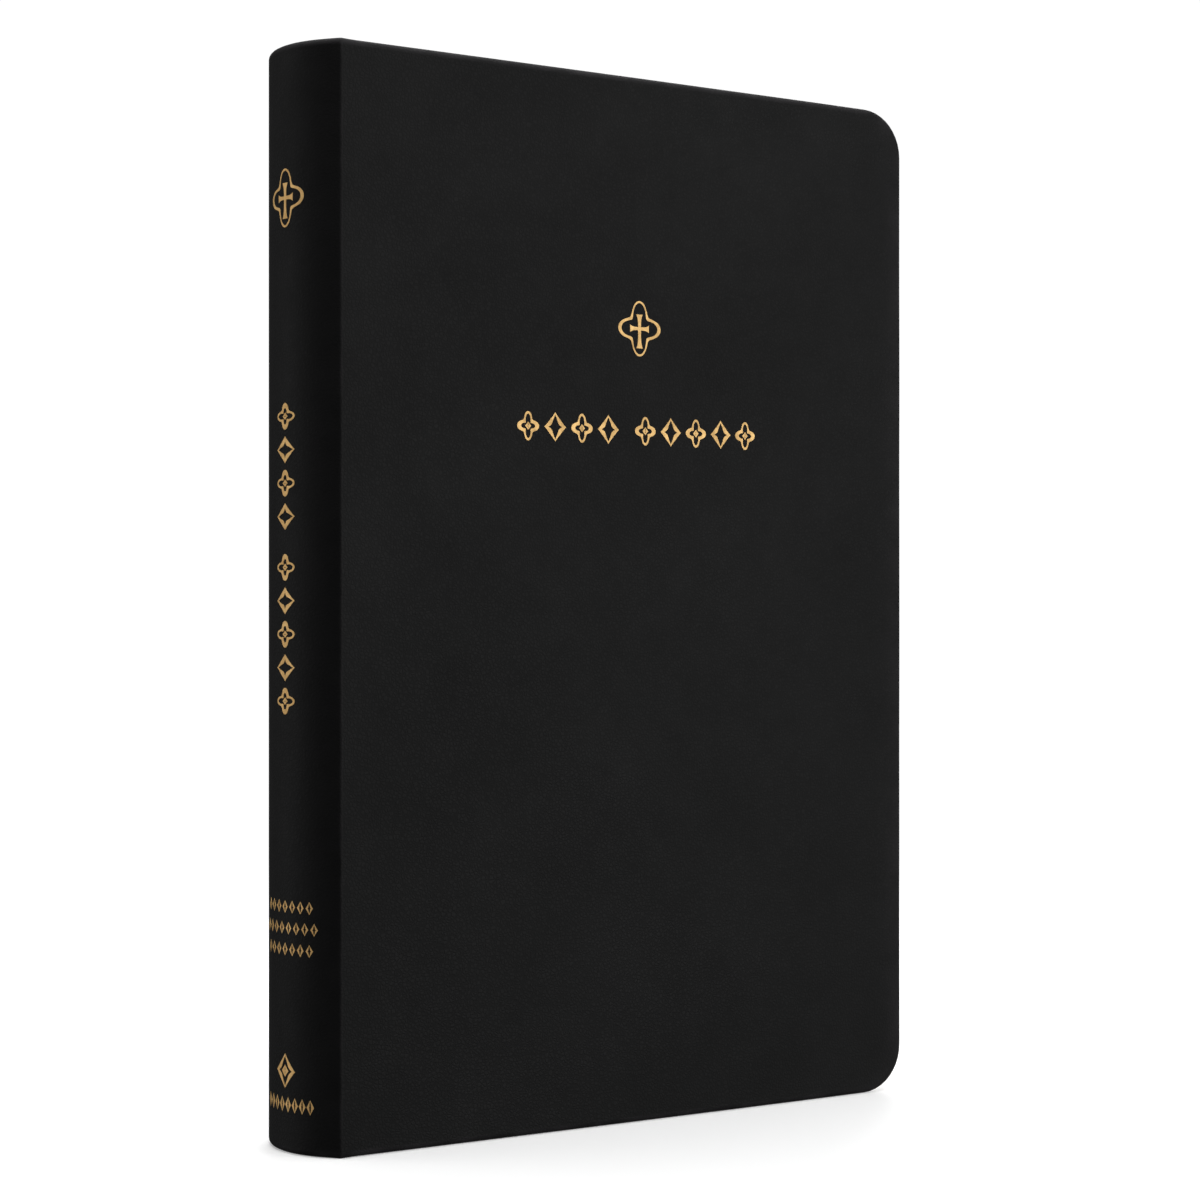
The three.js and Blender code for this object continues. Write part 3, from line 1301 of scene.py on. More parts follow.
@dataclass(frozen=True)
class LeatherCase:
    """The leather: one piece over the spine and front cover, one over the back cover."""

    corner: float = 10.0 * MM
    edge_radius: float = 1.3 * MM
    inner_radius: float = 0.6 * MM
    turn_in: float = 6.0 * MM
    raw_edge: float = 0.35 * MM
    pinch: float = 0.35
    pinch_width: float = 2.2 * MM
    spine_step: float = 0.8 * MM
    joint_step: float = 0.4 * MM
    joint_width: float = 6.0 * MM
    crease_steps: tuple[float, ...] = (0.12 * MM, 0.24 * MM, 0.36 * MM)
    fold_steps: int = 5
    far_columns: int = 34
    rows: int = 48
    corner_rows: int = 10

    def depth_share(self, s: float) -> float:
        """How much of its full depth the turned edge has, less where the creases pinch it."""
        near = min(abs(s), abs(s + SIZES.spine_girth))
        return 1.0 - self.pinch * math.exp(-((near / self.pinch_width) ** 2))

    def fold_profile(self) -> list[tuple[float, float]]:
        """The turned edge in section.

        Returns:
            Pairs of distance out from the sheet's outline and depth, from the outside of the
            leather round the edge to the end of the turned-in strip.
        """
        steps = self.fold_steps
        depth = SIZES.leather_depth
        outer, inner = self.edge_radius, self.inner_radius
        angles = [math.pi / 2.0 * k / steps for k in range(1, steps + 1)]
        over = [(outer * math.sin(a), outer * (1.0 - math.cos(a))) for a in angles]
        under = [
            (outer - inner * (1.0 - math.cos(a)), depth - inner * (1.0 - math.sin(a))) for a in angles
        ]
        inside = [(-self.turn_in / 2.0, depth), (-self.turn_in, depth)]
        return over + under + inside + [(-self.turn_in, depth - self.raw_edge)]

    def plan(self, with_spine: bool) -> SheetPlan:
        """The leather's outline inside its rolled edge.

        Args:
            with_spine: True for the piece that goes round the spine as well.

        Returns:
            The plan, in distances along the girth.
        """
        joint_count = round(self.joint_width / self.joint_step)
        joint = [self.joint_width * k / joint_count for k in range(1, joint_count + 1)]
        columns = [*self.crease_steps, *joint]
        start = 0.0
        if with_spine:
            start = -SIZES.spine_girth
            count = round(SIZES.spine_girth / self.spine_step)
            spine = [start + SIZES.spine_girth * k / count for k in range(1, count + 1)]
            columns += spine + [start + step for step in self.crease_steps]
            columns += [-step for step in self.crease_steps]
        inset = self.edge_radius
        return SheetPlan(
            start=start,
            end=SIZES.cover_width - inset,
            tail=inset,
            head=SIZES.height - inset,
            corner=self.corner - inset,
            near_columns=tuple(sorted(columns)),
            far_columns=self.far_columns,
            rows=self.rows,
            corner_rows=self.corner_rows,
        )

    def skin(self, with_spine: bool) -> MeshParts:
        """Build a piece of the leather with its turned edges.

        Args:
            with_spine: True for the piece that goes round the spine as well.

        Returns:
            The piece for the front side.
        """
        plan = self.plan(with_spine)
        grid = plan.grid()
        parts = MeshParts()
        numbers = [[parts.add_point(SURFACE.at(s, z)) for s, z in row] for row in grid]
        parts.add_grid(numbers)
        rim = plan.rim(closed=False)
        ring = [numbers[r.row][r.column] for r in rim]
        for out, depth in self.fold_profile():
            following = []
            for r in rim:
                s, z = grid[r.row][r.column]
                place = SURFACE.at(s + out * r.out_s, z + out * r.out_z, depth * self.depth_share(s))
                following.append(parts.add_point(place))
            parts.add_band(ring, following)
            ring = following
        return parts

    def build(self) -> Iterator[bpy.types.Object]:
        """Make both pieces of leather.

        Yields:
            The front piece with the spine, and the back piece.
        """
        material = LEATHER.material()
        front = self.skin(with_spine=True).to_object(
            "leather_front_and_spine", [material], Shading.SMOOTH
        )
        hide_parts("front_cover_leather", "spine_leather")
        back = self.skin(with_spine=False).mirrored().to_object(
            "leather_back", [material], Shading.SMOOTH
        )
        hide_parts("back_cover_leather")
        for piece, side in ((front, Side.FRONT), (back, Side.BACK)):
            blend_cover(piece, side)
            yield piece


@dataclass(frozen=True)
class CoverLining:
    """What lies inside a cover: the board, the flap of cloth and the pastedown."""

    side: Side
    board_corner: float = 9.0 * MM
    cloth_corner: float = 0.5 * MM
    pastedown_corner: float = 7.6 * MM
    bend_end: float = 6.0 * MM
    bend_columns: int = 12
    far_columns: int = 16
    rows: int = 20

    def bend(self, begin: float) -> list[float]:
        """The close columns of a layer near the crease.

        Args:
            begin: Where the layer starts from the crease.

        Returns:
            The columns, none if the layer starts beyond the bend.
        """
        if begin >= self.bend_end:
            return []
        count = self.bend_columns
        return [begin + (self.bend_end - begin) * k / count for k in range(1, count + 1)]

    def layer(
        self,
        node: str,
        piece_name: str,
        finish: Finish,
        corner: float,
        start: float | None = None,
    ) -> bpy.types.Object:
        """Build one layer where its node is.

        Args:
            node: The frame's node that the layer stands for.
            piece_name: Name of the piece.
            finish: Its finish.
            corner: Radius of its fore-edge corners.
            start: Where it starts from the crease, if it reaches nearer than its node.

        Returns:
            The piece.
        """
        low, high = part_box(node)
        outside = -SIZES.half_thickness if self.side is Side.FRONT else SIZES.half_thickness
        depths = sorted((abs(low.y - outside), abs(high.y - outside)))
        begin = low.x - SIZES.crease if start is None else start
        plan = SheetPlan(
            start=begin,
            end=high.x - SIZES.crease,
            tail=low.z,
            head=high.z,
            corner=corner,
            near_columns=tuple(self.bend(begin)),
            far_columns=self.far_columns,
            rows=self.rows,
        )
        parts = slab(plan, SURFACE.at, depths[0], depths[1]).on_side(self.side)
        piece = parts.to_object(piece_name, [finish.material()], Shading.CREASED)
        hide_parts(node)
        blend_cover(piece, self.side)
        return piece

    def build(self) -> Iterator[bpy.types.Object]:
        """Make the layers from the outside in.

        Yields:
            The board, the cloth flap and the pastedown.
        """
        word = self.side.word
        gutter = SIZES.gutter - SIZES.crease
        yield self.layer(f"{word}_board", f"{word}_board_card", CARD, self.board_corner)
        yield self.layer(
            f"{word}_hinge_cloth", f"{word}_cloth_flap", CLOTH, self.cloth_corner
        )
        yield self.layer(
            f"{word}_pastedown",
            f"{word}_pastedown_paper",
            ENDPAPER,
            self.pastedown_corner,
            start=gutter,
        )


# ---------------------------------------------------------------------------------------------
# Foil
# ---------------------------------------------------------------------------------------------

Point = tuple[float, float]
Ribbon = tuple[list[Point], list[Point], bool]

THIN_SHARE = 0.5  # the thinnest width of a pen's line, as a share of its thickest
ARM_STEPS = 10  # points along an arm of a cross, less one
FLARE_POWER = 4  # how late an arm widens
LOBE_DEPTH = 0.2  # how far a quatrefoil draws in between its lobes
LOZENGE_POWER = 0.9  # below 1 the sides of a lozenge curve in
PIP_SHARE = 0.28  # size of the pip in a quatrefoil, as a share of it
SOLID_STROKE = 0.8  # a line this share of half a ring's size all but fills it


def ring(reach: Callable[[float], float], size: Point, stroke: float, count: int = 48) -> Ribbon:
    """A closed line round a centre, thick at its sides and thin across, like a pen's.

    Args:
        reach: The outline's distance from the centre at an angle, 1 at the most.
        size: Half the width and half the height.
        stroke: Width of the line at its thickest.
        count: Number of points.

    Returns:
        The line's outer and inner edges.
    """
    outer, inner = [], []
    for k in range(count):
        angle = 2.0 * math.pi * k / count
        x, y = size[0] * reach(angle) * math.cos(angle), size[1] * reach(angle) * math.sin(angle)
        width = stroke * (THIN_SHARE + (1.0 - THIN_SHARE) * abs(math.cos(angle)))
        share = 1.0 - width / math.hypot(x, y)
        outer.append((x, y))
        inner.append((x * share, y * share))
    return outer, inner, True


def pen_line(centres: list[Point], widths: list[float]) -> Ribbon:
    """An open line of changing width.

    Args:
        centres: The points along its middle.
        widths: Its width at each point.

    Returns:
        The line's two edges.
    """
    left, right = [], []
    last = len(centres) - 1
    for k, ((x, y), width) in enumerate(zip(centres, widths)):
        x0, y0 = centres[max(0, k - 1)]
        x1, y1 = centres[min(last, k + 1)]
        length = math.hypot(x1 - x0, y1 - y0)
        across_x, across_y = -(y1 - y0) / length, (x1 - x0) / length
        left.append((x + across_x * width / 2.0, y + across_y * width / 2.0))
        right.append((x - across_x * width / 2.0, y - across_y * width / 2.0))
    return right, left, False


def flared_arm(direction: float, start: float, end: float, waist: float, flare: float) -> Ribbon:
    """One arm of a cross, which widens in a curve to its end.

    Args:
        direction: Angle of the arm, 0 along the row and a quarter turn up.
        start: Where the arm starts from the centre.
        end: Where it ends.
        waist: Width at the start.
        flare: How much wider it is at the end.

    Returns:
        The arm's two edges.
    """
    along = [start + (end - start) * k / ARM_STEPS for k in range(ARM_STEPS + 1)]
    centres = [(a * math.cos(direction), a * math.sin(direction)) for a in along]
    widths = [waist + flare * (k / ARM_STEPS) ** FLARE_POWER for k in range(ARM_STEPS + 1)]
    return pen_line(centres, widths)


class Motif(Enum):
    """The ornaments that stand in rows, each with its outline's reach at an angle."""

    QUATREFOIL = 0
    LOZENGE = 1

    def reach(self, angle: float) -> float:
        """The outline's distance from the centre.

        Args:
            angle: Angle about the centre.

        Returns:
            The distance, 1 at the most.
        """
        if self is Motif.QUATREFOIL:
            return 1.0 - LOBE_DEPTH + LOBE_DEPTH * math.cos(4.0 * angle)
        across, up = abs(math.cos(angle)), abs(math.sin(angle))
        return 1.0 / (across**LOZENGE_POWER + up**LOZENGE_POWER)

    def drawn(self, size: Point, stroke: float) -> list[Ribbon]:
        """The ornament's lines.

        Args:
            size: Half the width and half the height.
            stroke: Width of its outline.

        Returns:
            The outline, and a pip in the middle of a quatrefoil.
        """
        lines = [ring(self.reach, size, stroke)]
        if self is Motif.LOZENGE:
            return lines
        pip = (PIP_SHARE * size[0], PIP_SHARE * size[1])
        return lines + [ring(Motif.LOZENGE.reach, pip, SOLID_STROKE * min(pip), count=24)]


def framed_cross(size: Point) -> list[Ribbon]:
    """A Latin cross with flared arms, in a frame of four lobes.

    Args:
        size: Half the width and half the height of the frame.

    Returns:
        The lines of the cross and its frame.
    """
    height = 1.22 * size[1]
    waist, flare = 0.1 * height, 0.13 * height
    upper, lower, arm = 0.42 * height, 0.58 * height, 0.33 * height
    frame_stroke = 0.15 * size[0]
    quarter = math.pi / 2.0
    return [
        flared_arm(quarter, -waist / 2.0, upper, waist, flare),
        flared_arm(-quarter, waist / 2.0, lower, waist, flare),
        flared_arm(0.0, waist / 2.0, arm, waist, flare),
        flared_arm(2.0 * quarter, waist / 2.0, arm, waist, flare),
        ring(Motif.QUATREFOIL.reach, size, frame_stroke, count=96),
    ]


@dataclass
class FoilStamp:
    """Foil pressed on the leather, gathered into one piece."""

    name: str
    foil: FoilFinish
    lift: float = 0.05 * MM
    sink: float = 0.06 * MM
    parts: MeshParts = field(default_factory=MeshParts)

    def laid(self, line: list[Point], depth: float) -> list[int]:
        """Add a line of points at a depth in the leather and return their numbers."""
        return [self.parts.add_point(SURFACE.at(s, z, depth)) for s, z in line]

    def press(self, ribbons: list[Ribbon], s: float, z: float, turned: bool = False) -> None:
        """Press an ornament.

        Args:
            ribbons: The lines that it is made of.
            s: Distance of its centre along the girth.
            z: Height of its centre.
            turned: True to lay the row direction down the spine.
        """
        for outer, inner, closed in ribbons:
            count = len(outer)
            lines = []
            for share in (0.0, 0.5, 1.0):
                line = []
                for (x0, y0), (x1, y1) in zip(outer, inner):
                    x, y = x0 + (x1 - x0) * share, y0 + (y1 - y0) * share
                    line.append((s + y, z - x) if turned else (s + x, z + y))
                lines.append(line)
            top = [self.laid(line, -self.lift) for line in lines]
            foot = [self.laid(line, self.sink) for line in (lines[0], lines[-1])]
            for first, second in zip(top, top[1:]):
                self.parts.add_band(second, first, closed=closed)
            self.parts.add_band(top[0], foot[0], closed=closed)
            self.parts.add_band(foot[1], top[2], closed=closed)
            if not closed:
                for k, order in ((0, 1), (count - 1, -1)):
                    end = [top[0][k], top[1][k], top[2][k], foot[1][k], foot[0][k]]
                    self.parts.add_face(end[::order])

    def finish(self, body: str) -> bpy.types.Object:
        """Make the piece, riding on the body that it is pressed on."""
        piece = self.parts.to_object(self.name, [self.foil.material()], Shading.FLAT)
        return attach(piece, body)


@dataclass(frozen=True)
class OrnamentRow:
    """A row of ornaments in groups with a gap between them."""

    groups: tuple[int, ...]
    pitch: float
    gap: float
    size: Point
    stroke: float
    motifs: tuple[Motif, ...] = (Motif.QUATREFOIL, Motif.LOZENGE)

    def places(self) -> list[float]:
        """Centres of the ornaments.

        Returns:
            Their distances from the row's middle.
        """
        places, at = [], 0.0
        for group in self.groups:
            places += [at + self.pitch * k for k in range(group)]
            at = places[-1] + self.gap
        middle = (places[0] + places[-1]) / 2.0
        return [p - middle for p in places]

    def press(self, stamp: FoilStamp, s: float, z: float, turned: bool = False) -> None:
        """Press the row.

        Args:
            stamp: The foil to add it to.
            s: Distance of its middle along the girth.
            z: Height of its middle.
            turned: True for a row that runs down the spine.
        """
        for index, place in enumerate(self.places()):
            lines = self.motifs[index % len(self.motifs)].drawn(self.size, self.stroke)
            if turned:
                stamp.press(lines, s, z - place, turned=True)
            else:
                stamp.press(lines, s + place, z)


@dataclass(frozen=True)
class FoilDecoration:
    """The gold foil on the front cover and the spine: plain ornaments, with no lettering."""

    cross_size: Point = (5.3 * MM, 5.8 * MM)
    cover_cross: Point = (69.3 * MM, 166.2 * MM)
    cover_row_z: float = 144.8 * MM
    cover_row: OrnamentRow = OrnamentRow((4, 5), 6.45 * MM, 9.2 * MM, (2.6 * MM, 3.0 * MM), 0.95 * MM)
    spine_shift: float = 3.0 * MM
    spine_cross_z: float = 188.5 * MM
    spine_row_z: float = 117.3 * MM
    spine_row: OrnamentRow = OrnamentRow((4, 5), 6.6 * MM, 10.0 * MM, (2.65 * MM, 2.9 * MM), 1.0 * MM)
    small_heights: tuple[tuple[int, float], ...] = ((7, 48.7 * MM), (8, 44.5 * MM), (7, 40.3 * MM))
    small_pitch: float = 2.2 * MM
    small_size: Point = (0.85 * MM, 1.25 * MM)
    small_stroke: float = 0.4 * MM
    base_z: float = 9.7 * MM
    base_row: OrnamentRow = OrnamentRow(
        (8,), 1.95 * MM, 0.0, (0.85 * MM, 1.5 * MM), 0.5 * MM, (Motif.LOZENGE,)
    )
    emblem_z: float = 16.3 * MM
    emblem_size: Point = (3.0 * MM, 3.4 * MM)
    emblem_stroke: float = 0.9 * MM
    emblem_core: float = 0.36

    def stamps(self) -> Iterator[tuple[FoilStamp, str]]:
        """The pieces of foil, each with the body that it is pressed on.

        Yields:
            The foil on the cover, then the foil on the spine.
        """
        middle = self.spine_shift - SIZES.spine_girth / 2.0
        cover_cross = FoilStamp("foil_cover_cross", FOIL)
        cover_cross.press(framed_cross(self.cross_size), *self.cover_cross)
        yield cover_cross, "front_cover"
        cover_row = FoilStamp("foil_cover_row", FOIL)
        self.cover_row.press(cover_row, self.cover_cross[0], self.cover_row_z)
        yield cover_row, "front_cover"
        spine_cross = FoilStamp("foil_spine_cross", SPINE_FOIL_PAINTED_BRIGHTER)
        spine_cross.press(framed_cross(self.cross_size), middle, self.spine_cross_z)
        yield spine_cross, "spine"
        spine_row = FoilStamp("foil_spine_row", SPINE_FOIL_PAINTED_BRIGHTER)
        self.spine_row.press(spine_row, middle, self.spine_row_z, turned=True)
        yield spine_row, "spine"
        small = FoilStamp("foil_spine_small_rows", SPINE_FOIL_PAINTED_BRIGHTER)
        for count, z in self.small_heights:
            row = OrnamentRow(
                (count,), self.small_pitch, 0.0, self.small_size, self.small_stroke, (Motif.LOZENGE,)
            )
            row.press(small, middle, z)
        self.base_row.press(small, middle, self.base_z)
        yield small, "spine"
        emblem = FoilStamp("foil_spine_emblem", SPINE_FOIL_PAINTED_BRIGHTER)
        emblem.press(Motif.LOZENGE.drawn(self.emblem_size, self.emblem_stroke), middle, self.emblem_z)
        core = (self.emblem_core * self.emblem_size[0], self.emblem_core * self.emblem_size[1])
        emblem.press(Motif.LOZENGE.drawn(core, SOLID_STROKE * min(core)), middle, self.emblem_z)
        yield emblem, "spine"

    def build(self) -> Iterator[bpy.types.Object]:
        """Make each piece of foil."""
        for stamp, body in self.stamps():
            yield stamp.finish(body)


# ---------------------------------------------------------------------------------------------
# Pages
# ---------------------------------------------------------------------------------------------


@dataclass(frozen=True)
class PageBlock:
    """The leaves: turning sections, still sections and single endleaves."""

    corner: float = 7.0 * MM
    bend: float = 13.0 * MM
    bend_columns: int = 12
    leaves_in_section: int = 16
    unevenness: float = 0.09 * MM
    swelling: float = 0.04 * MM
    endleaf_thickness: float = 0.16 * MM
    far_columns: int = 6
    rows: int = 3
    corner_rows: int = 12

    def plan(self, start: float, end: float) -> SheetPlan:
        """The outline of a leaf from its back to its fore edge.

        Args:
            start: X of its back.
            end: X of its fore edge.

        Returns:
            The plan, with close columns near the gutter.
        """
        gutter = SIZES.gutter
        bend = [gutter + self.bend * k / self.bend_columns for k in range(1, self.bend_columns + 1)]
        return SheetPlan(
            start=start,
            end=end,
            tail=SIZES.page_tail,
            head=SIZES.page_head,
            corner=self.corner,
            near_columns=tuple(bend),
            far_columns=self.far_columns,
            rows=self.rows,
            corner_rows=self.corner_rows,
        )

    def bundle(self, outer: float, inner: float, leaves: int, seed: int) -> MeshParts:
        """Build leaves that lie together, each one's edge a little off its neighbour's.

        Args:
            outer: Distance of the outer face from the middle plane, above 0 towards the front.
            inner: Distance of the inner face.
            leaves: Number of leaves.
            seed: Seed of the small differences.

        Returns:
            A closed body, with its edges in the second finish.
        """
        chance = random.Random(seed)
        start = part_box("glued_back")[1].x if leaves > 1 else SIZES.gutter
        plan = self.plan(start, SIZES.page_edge_at(outer))
        grid, rim = plan.grid(), plan.rim()
        parts = MeshParts()

        def edge_ring(y: float, reach: float, rise: float) -> list[int]:
            """Add the outline of a leaf.

            Args:
                y: Distance from the middle plane.
                reach: How much further its fore edge reaches.
                rise: How much higher its head is, and lower its tail.

            Returns:
                The numbers of its points.
            """
            shift = SIZES.page_edge_at(y) - plan.end + reach
            ring = []
            for r in rim:
                x, z = grid[r.row][r.column]
                share = (x - plan.start) / (plan.end - plan.start)
                ring.append(parts.add_point(Vector((x + shift * share, -y, z + rise * r.out_z))))
            return ring

        def face(y: float, ring: list[int], turned: bool) -> None:
            """Close the bundle with a grid inside its outline.

            Args:
                y: Distance from the middle plane.
                ring: The numbers of the outline's points.
                turned: True for the inner face.
            """
            at = {(r.row, r.column): number for r, number in zip(rim, ring)}
            shift = SIZES.page_edge_at(y) - plan.end
            rows = []
            for i, row in enumerate(grid):
                numbers = []
                for k, (x, z) in enumerate(row):
                    share = (x - plan.start) / (plan.end - plan.start)
                    inside = Vector((x + shift * share, -y, z))
                    numbers.append(at[(i, k)] if (i, k) in at else parts.add_point(inside))
                rows.append(numbers)
            parts.add_grid(rows, turned=turned)

        step = (outer - inner) / leaves
        previous: list[int] = []
        for index in range(leaves):
            reach = chance.uniform(-1.0, 1.0) * self.unevenness
            rise = chance.uniform(-1.0, 0.0) * self.unevenness
            tint = chance.random()
            first = edge_ring(outer - step * index, reach, rise)
            if previous:
                parts.add_band(previous, first, finish=1, tint=tint, closed=True)
            else:
                face(outer, first, turned=False)
            previous = edge_ring(outer - step * (index + 1), reach, rise)
            parts.add_band(first, previous, finish=1, tint=tint, closed=True)
        face(inner, previous, turned=True)
        return parts

    def leaf_piece(
        self, node: str, body: str, finish: Finish, leaves: int
    ) -> bpy.types.Object:
        """Make the piece for one of the frame's leaves or sections.

        Args:
            node: The node that it stands for.
            body: The body that it belongs to; it is attached only to the spine.
            finish: The paper.
            leaves: Number of leaves in it.

        Returns:
            The piece, riding on the spine if its body is the spine.
        """
        low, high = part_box(node)
        side = Side.FRONT if low.y + high.y <= 0.0 else Side.BACK
        across = low.y * high.y <= 0.0
        inner, outer = (-high.y, -low.y) if across else sorted((abs(low.y), abs(high.y)))
        if leaves == 1:
            centre, half = (inner + outer) / 2.0, self.endleaf_thickness / 2.0
            inner, outer = centre - half, centre + half
        else:
            inner, outer = inner - self.swelling, outer + self.swelling
        parts = self.bundle(outer, inner, leaves, seed=sum(map(ord, node))).on_side(side)
        piece = parts.to_object(
            f"{node}_paper", [finish.material(), GILT.material()], Shading.CREASED
        )
        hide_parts(node)
        if body == "spine":
            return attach(piece, body)
        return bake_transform(piece)

    def build(self) -> Iterator[bpy.types.Object]:
        """Make every leaf and section.

        Yields:
            The pieces, endleaves first.
        """
        for name in ("front_flyleaf", "back_flyleaf"):
            yield self.leaf_piece(name, name, ENDPAPER, 1)
        for name in ("presentation_leaf", "title_leaf", "map_leaf_1", "map_leaf_2"):
            yield self.leaf_piece(name, name, FRAMED, 1)
        for body, nodes in frame["record"]["behaviour"]["bodies"].items():
            for name in nodes:
                if "_section_" in name:
                    yield self.leaf_piece(name, body, PAGE, self.leaves_in_section)


# ---------------------------------------------------------------------------------------------
# The spine's inside
# ---------------------------------------------------------------------------------------------


@dataclass(frozen=True)
class SewnBand:
    """A head or tail band: silk wound round a core, along the pages' round back."""

    node: str
    core: float = 0.62 * MM
    thread: float = 0.16 * MM
    turn: float = 0.55 * MM
    points_round: int = 12
    steps_to_turn: int = 6

    def parts(self) -> MeshParts:
        """Build the wound band.

        Returns:
            A closed tube, with a ridge for each turn of the thread.
        """
        low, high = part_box(self.node)
        height = (low.z + high.z) / 2.0
        half_width = (high.y - low.y) / 2.0
        radius = SIZES.spine_centre - low.x - (high.z - low.z) / 2.0
        half_angle = math.asin(min(1.0, (half_width - self.core) / radius))
        length = 2.0 * half_angle * radius
        turns = round(length / self.turn)
        count = turns * self.steps_to_turn
        parts = MeshParts()
        rings = []
        for k in range(count + 1):
            angle = half_angle * (2.0 * k / count - 1.0)
            ridge = self.thread * abs(math.sin(math.pi * k / self.steps_to_turn))
            size = self.core + ridge
            out = Vector((-math.cos(angle), -math.sin(angle), 0.0))
            centre = Vector((SIZES.spine_centre, 0.0, height)) + radius * out
            ring = []
            for m in range(self.points_round):
                around = 2.0 * math.pi * m / self.points_round
                lift = Vector((0.0, 0.0, math.sin(around)))
                ring.append(parts.add_point(centre + size * (math.cos(around) * out + lift)))
            rings.append(ring)
        for k, (first, second) in enumerate(zip(rings, rings[1:])):
            tint = 1.0 if (k // self.steps_to_turn) % 2 else 0.0
            parts.add_band(second, first, tint=tint, closed=True)
        parts.add_face(rings[0])
        parts.add_face(rings[-1][::-1])
        return parts

    def build(self) -> bpy.types.Object:
        """Make the piece.

        Returns:
            The band, riding on the spine.
        """
        piece = self.parts().to_object(f"{self.node}_silk", [BAND.material()], Shading.SMOOTH)
        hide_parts(self.node)
        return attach(piece, "spine")


@dataclass(frozen=True)
class SpineInside:
    """The strips behind the pages, which keep the frame's own shape."""

    finishes: tuple[tuple[str, Finish], ...] = (
        ("spine_inlay", CARD),
        ("spine_lining", KRAFT),
        ("spine_mull", CLOTH),
        ("glued_back", GLUE),
    )

    def build(self) -> Iterator[bpy.types.Object]:
        """Dress the frame's strips and make both bands.

        Yields:
            The dressed nodes, then the bands.
        """
        for name, finish in self.finishes:
            node = frame["nodes"][name]
            node.data.materials.clear()
            node.data.materials.append(finish.material())
            yield node
        for name in ("head_band", "tail_band"):
            yield SewnBand(name).build()


# ---------------------------------------------------------------------------------------------
# Studio
# ---------------------------------------------------------------------------------------------


@dataclass(frozen=True)
class SoftBox:
    """A large soft light that shines at the book."""

    name: str
    place: tuple[float, float, float]
    width: float
    height: float
    watts: float

    def build(self, target: Vector) -> None:
        """Make the light.

        Args:
            target: The point that it faces.
        """
        light = bpy.data.lights.new(self.name, "AREA")
        light.shape = "RECTANGLE"
        light.size = self.width
        light.size_y = self.height
        light.energy = self.watts
        lamp = bpy.data.objects.new(self.name, light)
        bpy.context.scene.collection.objects.link(lamp)
        lamp.location = self.place
        lamp.rotation_euler = (target - Vector(self.place)).to_track_quat("-Z", "Y").to_euler()


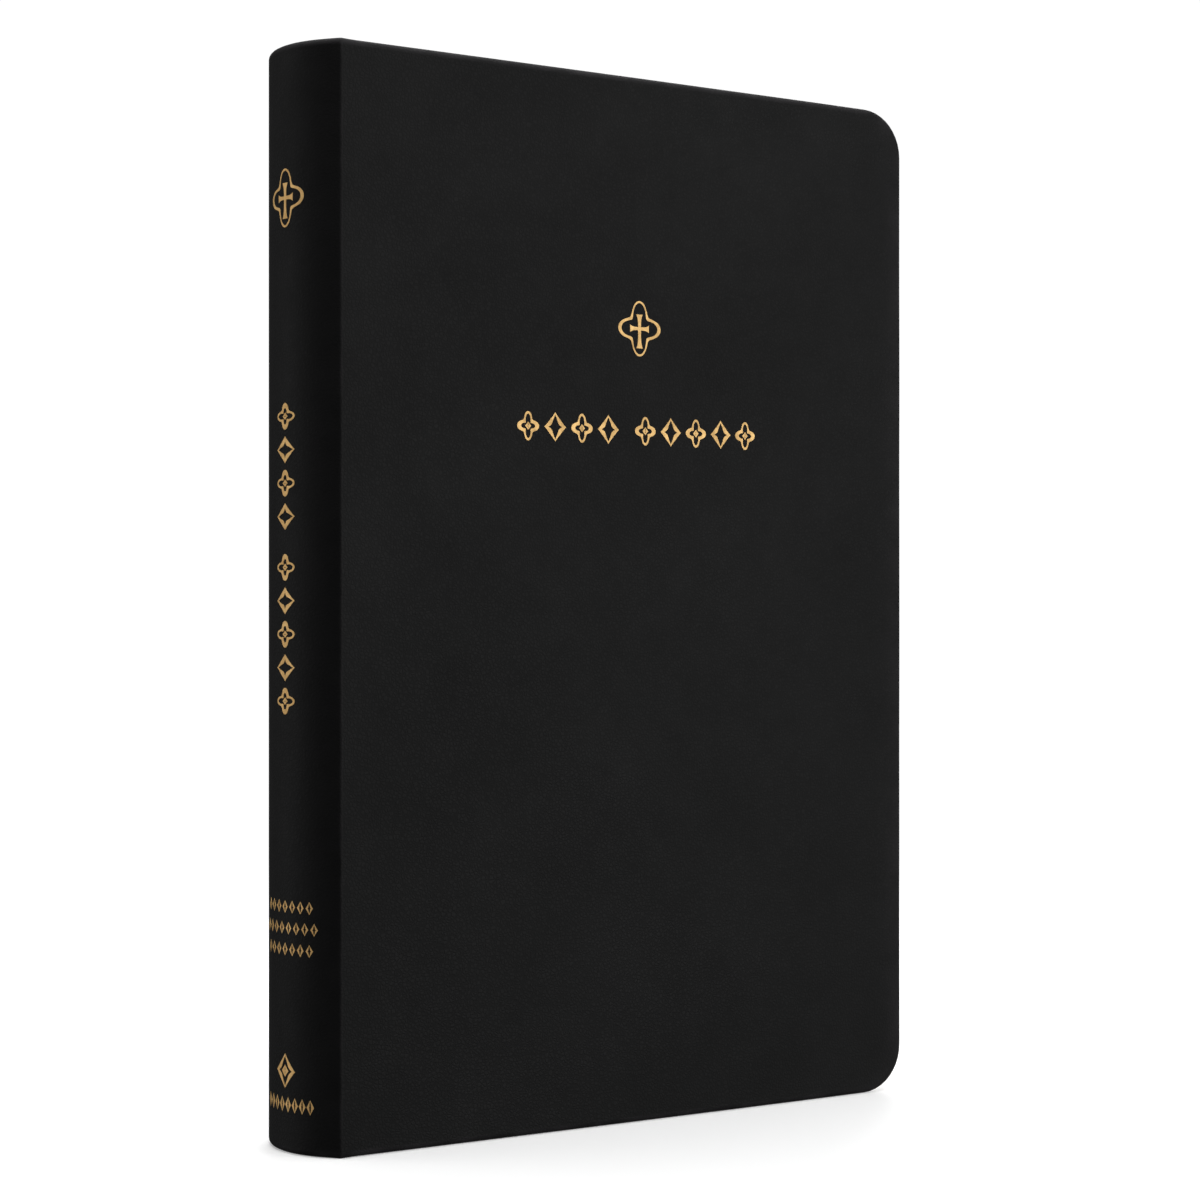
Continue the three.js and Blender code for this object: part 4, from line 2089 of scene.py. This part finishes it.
@dataclass(frozen=True)
class Studio:
    """A pale floor, soft light and the camera."""

    eye: tuple[float, float, float] = (-0.2941, -0.4638, 0.1048)
    turn: float = math.radians(-32.57)
    lens: float = 77.1
    sensor: float = 36.0
    rise: float = 0.0184
    near_clip: float = 0.01
    floor_half: float = 3.0
    floor_near: float = 0.15
    floor_far: float = 0.6
    white: float = 1.03
    floor_colour: Colour = (0.86, 0.86, 0.86)
    floor_glow: float = 0.3
    floor_grain: float = 60.0
    floor_relief: Relief = (0.1 * MM, 0.1)
    floor_roughness: float = 0.9
    surround_glow: float = 0.035
    boxes: tuple[SoftBox, ...] = (
        SoftBox("key_box", (0.72, -1.3, 0.3), 1.1, 1.6, 17.5),
        SoftBox("side_box", (-1.28, 0.75, 0.15), 0.8, 1.4, 5.8),
        SoftBox("fill_box", (1.0, 1.4, 0.5), 1.0, 1.3, 28.0),
        SoftBox("top_box", (0.0, 0.0, 1.6), 2.0, 2.0, 33.0),
    )

    def camera(self) -> None:
        """Make the camera, level with the middle of the book."""
        lens = bpy.data.cameras.new("camera")
        lens.lens = self.lens
        lens.sensor_width = self.sensor
        lens.clip_start = self.near_clip
        lens.shift_y = self.rise
        eye = bpy.data.objects.new("camera", lens)
        bpy.context.scene.collection.objects.link(eye)
        eye.location = self.eye
        eye.rotation_euler = (math.pi / 2.0, 0.0, self.turn)
        bpy.context.scene.camera = eye

    def floor(self) -> None:
        """Make the floor, which looks white to the camera."""
        parts = MeshParts()
        half = self.floor_half
        corners = [(-half, -half), (half, -half), (half, half), (-half, half)]
        parts.add_face([parts.add_point(Vector((x, y, 0.0))) for x, y in corners])
        floor = parts.to_object("floor", [self.floor_paper()], Shading.FLAT)
        floor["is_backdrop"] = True

    def floor_paper(self) -> bpy.types.Material:
        """Pale paper that fades into the white surroundings, and that only the camera sees.

        Returns:
            The floor's material.
        """
        material = bpy.data.materials.new("floor_paper")
        material.use_nodes = True
        nodes = NodeTree(material.node_tree)
        grain = nodes.bump(nodes.noise(self.floor_grain), self.floor_relief)
        matt = nodes.add(
            "ShaderNodeBsdfPrincipled",
            {"Base Color": self.floor_colour, "Roughness": self.floor_roughness, "Normal": grain},
        ).outputs["BSDF"]
        glow = nodes.white("ShaderNodeEmission", self.floor_glow)
        lit = nodes.add("ShaderNodeAddShader", {0: matt, 1: glow}).outputs[0]
        white = nodes.white("ShaderNodeEmission", self.white)
        reach = nodes.add("ShaderNodeVectorMath", {0: nodes.place()}, operation="LENGTH")
        fade = nodes.span(reach.outputs["Value"], self.floor_near, self.floor_far, 0.0, 1.0)
        seen = nodes.add("ShaderNodeMixShader", {0: fade, 1: lit, 2: white}).outputs[0]
        clear = nodes.add("ShaderNodeBsdfTransparent").outputs[0]
        camera_ray = nodes.add("ShaderNodeLightPath").outputs["Is Camera Ray"]
        shown = nodes.add("ShaderNodeMixShader", {0: camera_ray, 1: clear, 2: seen}).outputs[0]
        nodes.add("ShaderNodeOutputMaterial", {"Surface": shown})
        return material

    def world(self) -> None:
        """Make the surroundings: white behind the book, dimmer for reflections."""
        world = bpy.data.worlds.new("studio")
        world.use_nodes = True
        bpy.context.scene.world = world
        nodes = NodeTree(world.node_tree)
        dim = nodes.white("ShaderNodeBackground", self.surround_glow)
        white = nodes.white("ShaderNodeBackground", self.white)
        camera_ray = nodes.add("ShaderNodeLightPath").outputs["Is Camera Ray"]
        shown = nodes.add("ShaderNodeMixShader", {0: camera_ray, 1: dim, 2: white}).outputs[0]
        nodes.add("ShaderNodeOutputWorld", {"Surface": shown})

    def build(self) -> None:
        """Make the whole studio."""
        bpy.context.scene.view_settings.view_transform = "Standard"
        self.camera()
        self.floor()
        self.world()
        target = Vector((0.0, 0.0, SIZES.height / 2.0))
        for box in self.boxes:
            box.build(target)


# ---------------------------------------------------------------------------------------------
# The whole
# ---------------------------------------------------------------------------------------------


def report(made: Iterator[bpy.types.Object]) -> None:
    """Log each piece as it is made."""
    for piece in made:
        LOG.info("%s: %d faces", piece.name, len(piece.data.polygons))


def main() -> None:
    """Build the studio and the book."""
    logging.basicConfig(level=logging.INFO, format="%(name)s %(message)s")
    Studio().build()
    report(LeatherCase().build())
    for side in Side:
        report(CoverLining(side).build())
    report(FoilDecoration().build())
    report(PageBlock().build())
    report(SpineInside().build())
    boxes = {"cad": CAD_BOX, "visual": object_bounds()}
    {name: [list(corner) for corner in box] for name, box in boxes.items()}


if __name__ == "__main__":
    main()
